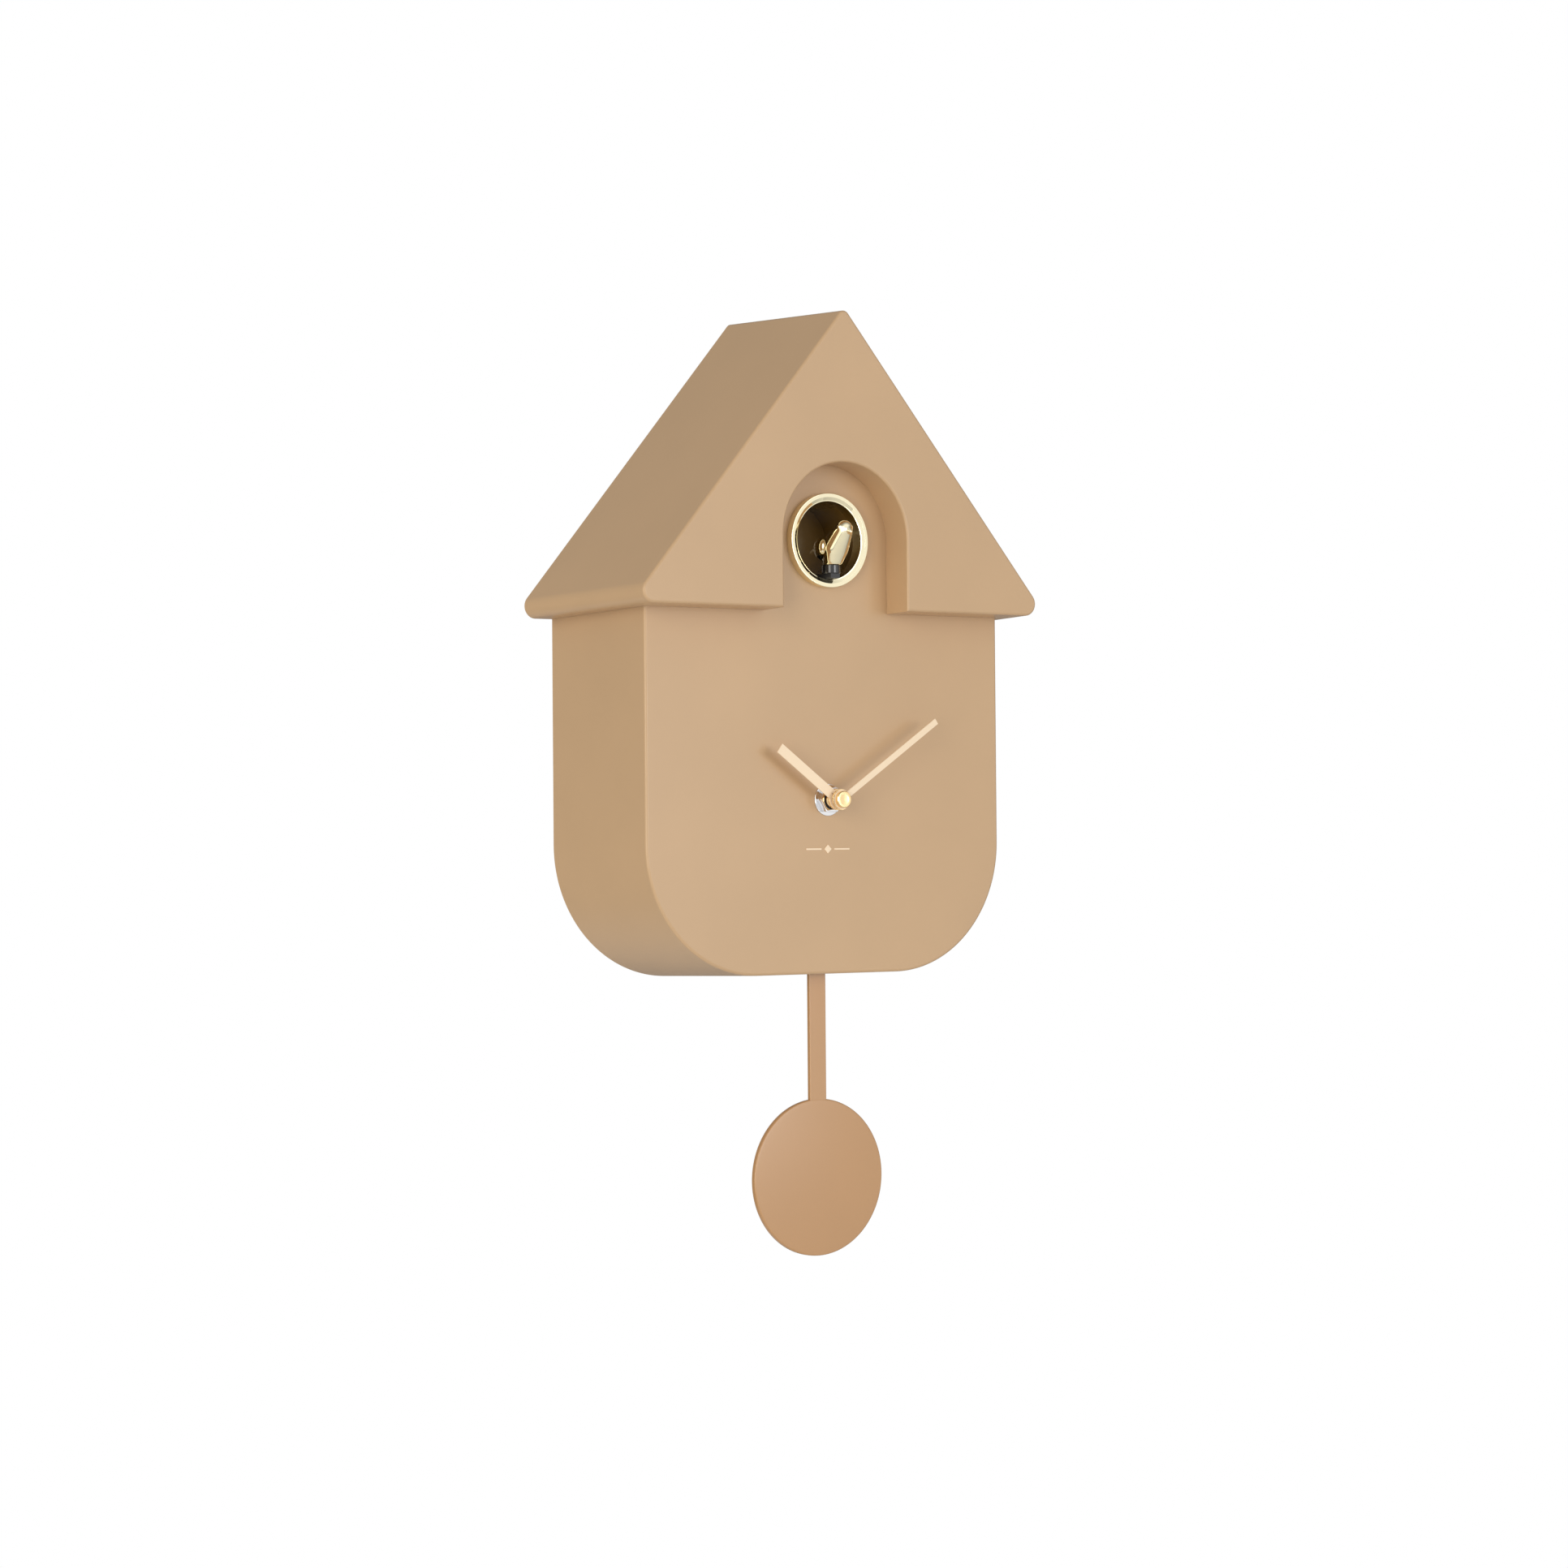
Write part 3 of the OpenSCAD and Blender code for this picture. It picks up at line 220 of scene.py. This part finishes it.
def rounded_profile(corners, steps=5):
    """Turns [(r, y, rounding), ...] into a profile whose corners are arcs."""
    points = []
    count = len(corners)
    for i, (r, y, rounding) in enumerate(corners):
        here = Vector((r, y))
        if rounding <= 0:
            points.append((r, y))
            continue
        before = (Vector(corners[i - 1][:2]) - here).normalized()
        after = (Vector(corners[(i + 1) % count][:2]) - here).normalized()
        half = before.angle(after) / 2
        reach = rounding / math.tan(half)
        centre = here + (before + after).normalized() * (rounding / math.sin(half))
        start = here + before * reach - centre
        end = here + after * reach - centre
        turn = start.angle_signed(end)
        for k in range(steps + 1):
            a = -turn * k / steps
            p = Vector((start.x * math.cos(a) - start.y * math.sin(a),
                        start.x * math.sin(a) + start.y * math.cos(a))) + centre
            points.append((p.x, p.y))
    return points


# ---- materials ----

def srgb(red, green, blue):
    """An sRGB colour from 0 to 255 as linear RGBA."""
    def linear(c):
        c /= 255
        return c / 12.92 if c <= 0.04045 else ((c + 0.055) / 1.055) ** 2.4
    return (linear(red), linear(green), linear(blue), 1.0)


def shade(colour, factor):
    return tuple(min(1.0, c * factor) for c in colour[:3]) + (1.0,)


class Surface:
    """A Principled material with its node tree at hand."""

    def __init__(self, name, colour, roughness, metallic=0.0, specular=0.5, coat=0.0,
                 coat_roughness=0.1):
        self.material = bpy.data.materials.new(name)
        self.material.use_nodes = True
        self.material.diffuse_color = colour
        self.nodes = self.material.node_tree.nodes
        self.links = self.material.node_tree.links
        self.bsdf = self.nodes["Principled BSDF"]
        self.bsdf.inputs["Base Color"].default_value = colour
        self.bsdf.inputs["Roughness"].default_value = roughness
        self.bsdf.inputs["Metallic"].default_value = metallic
        self.bsdf.inputs["Specular IOR Level"].default_value = specular
        self.bsdf.inputs["Coat Weight"].default_value = coat
        self.bsdf.inputs["Coat Roughness"].default_value = coat_roughness
        self.colour = colour
        self.roughness = roughness
        self.coords = self.nodes.new("ShaderNodeTexCoord").outputs["Object"]
        self.last_normal = None

    def scaled(self, stretch):
        mapping = self.nodes.new("ShaderNodeMapping")
        mapping.inputs["Scale"].default_value = stretch
        self.links.new(self.coords, mapping.inputs["Vector"])
        return mapping.outputs["Vector"]

    def noise(self, size_mm, detail=3.0, stretch=None):
        texture = self.nodes.new("ShaderNodeTexNoise")
        texture.inputs["Scale"].default_value = 1000.0 / size_mm
        texture.inputs["Detail"].default_value = detail
        source = self.scaled(stretch) if stretch else self.coords
        self.links.new(source, texture.inputs["Vector"])
        return texture.outputs["Fac"]

    def vary_colour(self, size_mm, low, high, detail=3.0, stretch=None):
        """The colour drifts between low and high times itself over patches of that size."""
        ramp = self.nodes.new("ShaderNodeValToRGB")
        ramp.color_ramp.elements[0].position = 0.3
        ramp.color_ramp.elements[1].position = 0.7
        ramp.color_ramp.elements[0].color = shade(self.colour, low)
        ramp.color_ramp.elements[1].color = shade(self.colour, high)
        self.links.new(self.noise(size_mm, detail, stretch), ramp.inputs["Fac"])
        self.links.new(ramp.outputs["Color"], self.bsdf.inputs["Base Color"])
        return self

    def vary_roughness(self, size_mm, spread, detail=4.0, stretch=None):
        span_node = self.nodes.new("ShaderNodeMapRange")
        span_node.inputs["From Min"].default_value = 0.3
        span_node.inputs["From Max"].default_value = 0.7
        span_node.inputs["To Min"].default_value = max(0.01, self.roughness - spread)
        span_node.inputs["To Max"].default_value = self.roughness + spread
        self.links.new(self.noise(size_mm, detail, stretch), span_node.inputs["Value"])
        self.links.new(span_node.outputs["Result"], self.bsdf.inputs["Roughness"])
        return self

    def bump(self, height, strength, distance_mm):
        """Adds a bump from a height output, on top of any earlier one."""
        node = self.nodes.new("ShaderNodeBump")
        node.inputs["Strength"].default_value = strength
        node.inputs["Distance"].default_value = distance_mm * MM
        self.links.new(height, node.inputs["Height"])
        if self.last_normal:
            self.links.new(self.last_normal, node.inputs["Normal"])
        self.last_normal = node.outputs["Normal"]
        self.links.new(self.last_normal, self.bsdf.inputs["Normal"])
        return self

    def grain(self, size_mm, strength, distance_mm=0.02, detail=4.0, stretch=None):
        return self.bump(self.noise(size_mm, detail, stretch), strength, distance_mm)


def moulded(name, colour, roughness, grain=0.25, coat=0.0, specular=0.5):
    """Fine-grained moulded plastic: faint colour drift, uneven gloss and a spark-eroded texture."""
    surface = Surface(name, colour, roughness, specular=specular, coat=coat, coat_roughness=0.25)
    surface.vary_colour(55, 0.975, 1.025)
    if grain > COARSE:
        surface.vary_roughness(1.6, 0.05)
    if grain:
        surface.grain(0.45, grain, 0.02)
        surface.grain(9, 0.08, 0.05, detail=1.0)
    return surface


def polished(name, colour, roughness, brush=None):
    """Metal or plating, with faint brushing when brush gives the stretch of its lines."""
    surface = Surface(name, colour, roughness, metallic=1.0)
    surface.vary_colour(14, 0.97, 1.03)
    surface.vary_roughness(3.0, roughness * 0.25)
    if brush:
        surface.grain(0.5, 0.12, 0.01, stretch=brush)
    else:
        surface.grain(5.0, 0.03, 0.02, detail=1.0)
    return surface


SHELL = moulded("shell_plastic", (0.575, 0.380, 0.214, 1), 0.30, grain=0.05, specular=0.5)
COVER = moulded("cover_plastic", (0.55, 0.365, 0.20, 1), 0.55, grain=0.4)
PENDULUM = moulded("pendulum_satin", (0.495, 0.262, 0.102, 1), 0.30, grain=0.0, coat=0.35, specular=0.8)
CREAM = moulded("cream_lacquer", srgb(250, 226, 194), 0.42, grain=0.1)
GOLD = polished("gold_plating", (0.95, 0.86, 0.60, 1), 0.045)
BRASS = polished("turned_brass", (0.92, 0.68, 0.36, 1), 0.16, brush=(1, 12, 1))
CHROME = polished("chrome_plating", (0.80, 0.80, 0.81, 1), 0.07)
STEEL = polished("zinced_steel", (0.62, 0.63, 0.65, 1), 0.30, brush=(1, 1, 8))
MAGNET = polished("sintered_magnet", (0.22, 0.22, 0.23, 1), 0.45)
BLACK = moulded("black_plastic", (0.022, 0.022, 0.024, 1), 0.50, grain=0.35)
BLACK_GLOSS = moulded("black_gloss", (0.010, 0.010, 0.011, 1), 0.12, grain=0.03, coat=0.4)
BROWN_GLOSS = moulded("brown_gloss", (0.15, 0.082, 0.018, 1), 0.18, grain=0.03, coat=0.3)
WHITE = moulded("white_acetal", (0.78, 0.77, 0.72, 1), 0.38, grain=0.08)
COPPER = polished("enamelled_copper", (0.62, 0.26, 0.11, 1), 0.28)
PAPER = moulded("speaker_paper", (0.035, 0.034, 0.032, 1), 0.85, grain=0.6)
CELL = moulded("cell_film", (0.06, 0.14, 0.30, 1), 0.25, grain=0.03, coat=0.5)
BOARD = moulded("solder_mask", (0.012, 0.10, 0.03, 1), 0.34, grain=0.05, coat=0.2)

SLOTS = {
    "shell": SHELL, "cover": COVER, "pendulum": PENDULUM, "cream": CREAM, "gold": GOLD,
    "brass": BRASS, "chrome": CHROME, "steel": STEEL, "magnet": MAGNET, "black_plastic": BLACK,
    "black_gloss": BLACK_GLOSS, "brown_gloss": BROWN_GLOSS, "white_plastic": WHITE,
    "board": BOARD, "copper": COPPER, "paper": PAPER, "cell_wrap": CELL,
}
NODE_SLOT = {part["node"]: part["material_slot"] for part in frame["record"]["subparts"]}
NODE_BODY = {
    node: body for body, nodes in frame["record"]["behaviour"]["bodies"].items() for node in nodes
}


def paint(obj, surface):
    obj.data.materials.clear()
    obj.data.materials.append(surface.material)


def paint_cad():
    """Every CAD node gets its slot's material."""
    for node, slot in NODE_SLOT.items():
        obj = frame["nodes"][node]
        if not obj.material_slots:
            obj.data.materials.append(None)
        for material_slot in obj.material_slots:
            material_slot.link = "OBJECT"
            material_slot.material = SLOTS[slot].material


def stand_for(obj, node):
    """The piece takes the node's place, body and slot."""
    slot = NODE_SLOT[node]
    paint(obj, SLOTS[slot])
    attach(obj, NODE_BODY[node])
    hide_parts(node)
    return obj


# ---- shells ----

def roof_outline(draft, grow):
    ridge = RIDGE_Z + draft / math.cos(SLOPE)
    cz = EAVE_Z - draft + EAVE_R
    cx = (ridge - cz) / math.tan(SLOPE) - EAVE_R / math.sin(SLOPE)
    normal = 90 - math.degrees(SLOPE)
    apex = ridge - APEX_R / math.cos(SLOPE)
    return (arc(cx, cz, EAVE_R + grow, -90, normal, 18)
            + arc(0, apex, APEX_R + grow, normal, 180 - normal, 14)
            + arc(-cx, cz, EAVE_R + grow, 180 - normal, 270, 18))


def arch_outline(grow):
    w = ARCH_HW + grow
    foot = EAVE_Z - 12
    return [(w, foot)] + arc(0, ARCH_Z, w, 0, 180, 96) + [(-w, foot)]


def body_sides(draft, grow, top):
    """The U of the body's sides and bottom, open at the top corners given."""
    r = BODY_CORNER + draft + grow
    cx = BODY_HW - BODY_CORNER
    return ([(-cx - r, top)] + arc(-cx, BODY_CORNER, r, 180, 270, 48)
            + arc(cx, BODY_CORNER, r, 270, 360, 48) + [(cx + r, top)])


def keyhole_outline(draft, grow):
    """The body's sides with the window panel's arch on top."""
    tab = ARCH_HW + TAB
    panel = [(tab, BODY_TOP)] + arc(0, ARCH_Z, tab, 0, 180, 64) + [(-tab, BODY_TOP)]
    return body_sides(draft, grow, BODY_TOP) + panel


def build_body():
    steps = 7
    sections = [(BODY_Y + FILLET * a, keyhole_outline(0, -FILLET * b)) for a, b in quarter(steps)]
    sections.append((0, keyhole_outline(BODY_DRAFT, 0)))
    body = prism("body_shell_fine", sections)
    inner = [(BODY_Y + WALL, body_sides(0, -WALL, 300)), (1, body_sides(BODY_DRAFT, -WALL, 300))]
    boolean(body, prism("cavity", inner))
    ring = lathe("hole", [(0, -90), (WINDOW_R, -90), (WINDOW_R, -60), (0, -60)], 96, (0, RING_Z))
    boolean(body, ring)
    neck = lathe("hole", [(0, -90), (NECK_HOLE_R, -90), (NECK_HOLE_R, -60), (0, -60)], 48, (0, HUB_Z))
    boolean(body, neck)
    rod_low, rod_high = span("pendulum_rod")
    boolean(body, box_solid("slot", (-SLOT_HW, rod_low.y - 2.2, -6), (SLOT_HW, rod_high.y + 2.2, 6)))
    finish_shading(body)
    return stand_for(body, "body_shell")


def build_roof():
    steps = 7
    sections = [(ROOF_Y + FILLET * a, roof_outline(0, -FILLET * b)) for a, b in quarter(steps)]
    sections.append((0, roof_outline(ROOF_DRAFT, 0)))
    roof = prism("roof_shell_fine", sections)
    inner = [(ROOF_Y + WALL, roof_outline(0, -WALL)), (1, roof_outline(ROOF_DRAFT, -WALL))]
    boolean(roof, prism("cavity", inner))
    collar = prism("collar", [(ROOF_Y + 1, arch_outline(COLLAR)), (BODY_Y - 0.05, arch_outline(COLLAR))])
    keep = prism("keep", sections)
    boolean(collar, keep, "INTERSECT")
    boolean(roof, collar, "UNION")
    flare = [(ROOF_Y - 1, arch_outline(ARCH_FILLET))]
    flare += [(ROOF_Y + ARCH_FILLET * a, arch_outline(ARCH_FILLET * b)) for a, b in quarter(6)]
    flare.append((BODY_Y + 1, arch_outline(0)))
    boolean(roof, prism("arch", flare))
    opening = [(BODY_Y - 0.1, body_sides(0, 0.15, BODY_TOP)), (1, body_sides(BODY_DRAFT, 0.2, BODY_TOP))]
    boolean(roof, prism("opening", opening))
    finish_shading(roof)
    return stand_for(roof, "roof_shell")


# ---- window ----

def build_ring():
    front = RING_LOW.y
    corners = [
        (RING_RI, RING_HIGH.y, 0), (RING_RI, front + 0.8, 0.1), (RING_RI + 0.4, front + 0.74, 0.05),
        (RING_RI + 1.75, front, 0.06), (RING_RO, front, 0.4),
        (RING_RO, BODY_Y - 0.02, 0), (SLEEVE_R, BODY_Y - 0.02, 0), (SLEEVE_R, RING_HIGH.y, 0),
    ]
    ring = lathe("window_ring_fine", rounded_profile(corners), 192, (0, RING_Z))
    finish_shading(ring, 30)
    return stand_for(ring, "window_ring")


def ellipsoid(bm, centre, radii, tilt=0.0):
    """Adds an ellipsoid, tilted about X by tilt degrees, positive raising its front."""
    matrix = (Matrix.Translation(centre) @ Matrix.Rotation(math.radians(-tilt), 4, "X")
              @ Matrix.Diagonal((*radii, 1)))
    bmesh.ops.create_icosphere(bm, subdivisions=4, radius=1, matrix=matrix)


def chain(bm, start, end, r0, r1, count, flat=1.0):
    """A row of overlapping balls from start to end whose radius runs from r0 to r1."""
    for k in range(count + 1):
        t = k / count
        centre = Vector(start).lerp(Vector(end), t)
        r = r0 + (r1 - r0) * t
        matrix = Matrix.Translation(centre) @ Matrix.Diagonal((r, r, r * flat, 1))
        bmesh.ops.create_icosphere(bm, subdivisions=3, radius=1, matrix=matrix)


def build_bird():
    """The bird's soft body: overlapping forms, remeshed and smoothed."""
    perch_low, perch_high = span("perch")
    y = (perch_low.y + perch_high.y) / 2
    z = perch_high.z - Z0
    bm = bmesh.new()

    def at(dy, dz, dx=0.0):
        return Vector((dx, y + dy, z + dz))

    chain(bm, at(3.2, 7.0), at(-3.0, 7.6), 5.6, 6.0, 16)
    chain(bm, at(-2.0, 3.4), at(-3.0, 7.6), 4.6, 6.0, 12)
    chain(bm, at(-3.0, 7.6), at(-9.4, 14.3), 6.0, 3.9, 20)
    ellipsoid(bm, at(-9.6, 14.8), (3.65, 3.9, 3.75))
    chain(bm, at(-12.2, 14.3), at(-15.0, 13.2), 1.9, 0.5, 14)
    chain(bm, at(6.2, 7.0), at(14.2, 6.4), 3.3, 1.0, 14, 0.7)
    chain(bm, at(-2.0, 5.0), at(-0.4, 0.6), 4.9, 3.8, 8)
    for side in (-1, 1):
        ellipsoid(bm, at(0.4, 7.6, side * 4.6), (3.0, 4.4, 3.9), 20)
        ellipsoid(bm, at(-10.4, 15.6, side * 3.25), (0.8, 0.95, 0.95))
    bird = new_object("bird_fine", bm)
    remesh = bird.modifiers.new("remesh", "REMESH")
    remesh.mode = "VOXEL"
    remesh.voxel_size = BIRD_CELL * MM
    smooth = bird.modifiers.new("smooth", "SMOOTH")
    smooth.factor = 0.6
    smooth.iterations = 20
    depsgraph = bpy.context.evaluated_depsgraph_get()
    bird.data = bpy.data.meshes.new_from_object(bird.evaluated_get(depsgraph))
    bird.modifiers.clear()
    for face in bird.data.polygons:
        face.use_smooth = True
    foot = (perch_high.z + FOOT_GAP) * MM
    for vertex in bird.data.vertices:
        vertex.co.z = max(vertex.co.z, foot)
    return stand_for(bird, "bird")


def build_perch():
    low, high = span("perch")
    r = (high.x - low.x) / 2
    y = (low.y + high.y) / 2
    profile = rounded_profile([(0, low.z - Z0, 0), (r, low.z - Z0, 0.35), (r, high.z - Z0, 0.35),
                               (0, high.z - Z0, 0)])
    bm = bmesh.new()
    steps = 96
    rings = []
    for k in range(steps):
        a = 2 * math.pi * k / steps
        rings.append([bm.verts.new((p * math.cos(a), y + p * math.sin(a), h)) for p, h in profile])
    for k in range(steps):
        here, there = rings[k], rings[(k + 1) % steps]
        for i in range(len(profile) - 1):
            bm.faces.new((here[i], here[i + 1], there[i + 1], there[i]))
    bmesh.ops.remove_doubles(bm, verts=bm.verts, dist=1e-5)
    bmesh.ops.dissolve_degenerate(bm, edges=bm.edges, dist=1e-6)
    perch = new_object("perch_fine", bm)
    finish_shading(perch, 40)
    return stand_for(perch, "perch")


# ---- hands and their hub ----

def turned(node, corners, steps=96, angle=30):
    """A turned piece about the hands' axis, from rounded corners of its profile."""
    piece = lathe(node + "_fine", rounded_profile(corners), steps, (0, HUB_Z))
    finish_shading(piece, angle)
    return stand_for(piece, node)


def build_hub():
    for node in ("hour_bushing", "minute_bushing"):
        low, high = span(node)
        r = (high.x - low.x) / 2
        hole = 2.21 if node == "hour_bushing" else 1.21
        waist = r - 0.9
        turned(node, [(hole, high.y, 0), (hole, low.y, 0), (r, low.y, 0.12), (r, low.y + 0.7, 0.1),
                      (waist, low.y + 0.8, 0.08), (waist, high.y, 0.1)])
    low, high = span("hand_cap")
    r = (high.x - low.x) / 2
    turned("hand_cap", [(0, high.y - 0.02, 0), (0, low.y + 0.12, 0), (r - 1.4, low.y, 0.3),
                        (r - 0.35, low.y, 0.25), (r, low.y + 0.4, 0.15), (r, high.y, 0.1)])
    low, high = span("neck_washer")
    r = (high.x - low.x) / 2
    turned("neck_washer", [(4.05, high.y, 0), (4.05, low.y, 0.1), (r, low.y, 0.25), (r, high.y, 0.1)])


# ---- pendulum ----

def build_disc():
    low, high = span("pendulum_disc")
    r = (high.x - low.x) / 2
    z = (low.z + high.z) / 2 - Z0
    rim = low.y + DOME
    corners = [(r, rim, 0.7), (r, high.y, 0.6), (0, high.y, 0), (0, low.y, 0)]
    crown = [(r * k / 24, low.y + DOME * (k / 24) ** 2) for k in range(1, 24)]
    disc = lathe("pendulum_disc_fine", rounded_profile(corners, 8) + crown, 224, (0, z))
    finish_shading(disc, 30)
    return stand_for(disc, "pendulum_disc")


def build_rod():
    low, high = span("pendulum_rod")
    top = high.z - Z0
    foot = low.z - Z0
    inset = 0.35
    def outline(grow):
        x = high.x + grow
        return [(-x, foot), (x, foot), (x, top + grow), (-x, top + grow)]
    sections = [(low.y + inset * a, outline(-inset * b)) for a, b in quarter(4)]
    sections += [(high.y - inset * a, outline(-inset * b)) for a, b in reversed(quarter(4))]
    rod = prism("pendulum_rod_fine", sections)
    finish_shading(rod, 30)
    return stand_for(rod, "pendulum_rod")


# ---- stage, lights and camera ----

# Where the camera stands in the frame, and the way it looks, at the photograph's angle
CAMERA_PLACE = Vector((-0.96473, -1.40995, -0.18122))
CAMERA_FORWARD = Vector((0.57516, 0.8179, 0.0150))
CAMERA_UP = Vector((-0.00222, -0.01678, 0.99986))
LENS = 88.31


def build_camera():
    camera = bpy.data.objects.new("camera", bpy.data.cameras.new("camera"))
    bpy.context.collection.objects.link(camera)
    camera.data.lens = LENS
    camera.data.sensor_width = 36
    camera.data.clip_start = 0.05
    camera.data.clip_end = 50
    forward = CAMERA_FORWARD.normalized()
    right = forward.cross(CAMERA_UP).normalized()
    up = right.cross(forward)
    turn = Matrix((right, up, -forward)).transposed().to_4x4()
    camera.matrix_world = Matrix.Translation(CAMERA_PLACE) @ turn
    bpy.context.scene.camera = camera


def area_light(name, place, target, size, power, colour=(1, 1, 1)):
    light = bpy.data.lights.new(name, "AREA")
    light.shape = "RECTANGLE"
    light.size, light.size_y = size
    light.energy = power
    light.color = colour
    obj = bpy.data.objects.new(name, light)
    bpy.context.collection.objects.link(obj)
    obj.location = place
    obj.rotation_mode = "QUATERNION"
    obj.rotation_quaternion = (Vector(target) - Vector(place)).to_track_quat("-Z", "Y")


def build_stage():
    """A pale floor far below the clock, a white world and soft boxes."""
    bm = bmesh.new()
    bmesh.ops.create_circle(bm, cap_ends=True, segments=96, radius=2200)
    floor = new_object("floor", bm)
    floor.location.z = -1.3
    surface = moulded("floor_paper", (0.93, 0.93, 0.93, 1), 0.9, grain=0.1)
    paint(floor, surface)
    build_world()
    bpy.context.scene.view_settings.view_transform = "Standard"
    middle = (0, 0, -0.15)
    area_light("key", (0.42, -2.4, -0.05), middle, (0.65, 0.65), 7.9)
    area_light("kicker", (1.08, -2.2, -0.23), (0, 0, -0.32), (0.4, 0.4), 2.0)
    area_light("window", (0.9, -2.2, 0.45), middle, (0.8, 0.8), 3)
    area_light("left", (-2.4, -0.6, -0.25), middle, (1.4, 1.8), 7, (1.0, 0.93, 0.76))
    area_light("edge", (-1.9, -1.35, 0.1), middle, (0.9, 1.7), 18, (1.0, 0.95, 0.84))


def build_world():
    """White to the camera, half as bright for light, and for reflections dark behind the clock."""
    world = bpy.data.worlds.new("studio")
    bpy.context.scene.world = world
    world.use_nodes = True
    nodes, links = world.node_tree.nodes, world.node_tree.links
    background = nodes["Background"]
    background.inputs["Color"].default_value = (1, 1, 1, 1)
    rays = nodes.new("ShaderNodeLightPath")
    direction = nodes.new("ShaderNodeTexCoord")
    parts = nodes.new("ShaderNodeSeparateXYZ")
    links.new(direction.outputs["Generated"], parts.inputs["Vector"])
    reflected = nodes.new("ShaderNodeMapRange")
    for key, value in (("From Min", -0.6), ("From Max", -0.1), ("To Min", 1.0), ("To Max", 0.25)):
        reflected.inputs[key].default_value = value
    links.new(parts.outputs["Y"], reflected.inputs["Value"])
    by_glossy = nodes.new("ShaderNodeMix")
    by_glossy.inputs["A"].default_value = 0.5
    links.new(rays.outputs["Is Glossy Ray"], by_glossy.inputs["Factor"])
    links.new(reflected.outputs["Result"], by_glossy.inputs["B"])
    by_camera = nodes.new("ShaderNodeMix")
    by_camera.inputs["B"].default_value = 1.0
    links.new(rays.outputs["Is Camera Ray"], by_camera.inputs["Factor"])
    links.new(by_glossy.outputs["Result"], by_camera.inputs["A"])
    links.new(by_camera.outputs["Result"], background.inputs["Strength"])


def build_all():
    paint_cad()
    build_body()
    build_roof()
    build_ring()
    build_bird()
    build_perch()
    build_hub()
    build_disc()
    build_rod()
    for node, bevel in (("neck_nut", 0.35), ("hour_hand", 0.08), ("minute_hand", 0.08),
                        ("body_cover", 0.3), ("battery_door", 0.25),
                        ("hanger_plate", 0.15), ("dial_ornament", 0.04)):
        round_cad(node, bevel)


build_camera()
build_stage()
build_all()
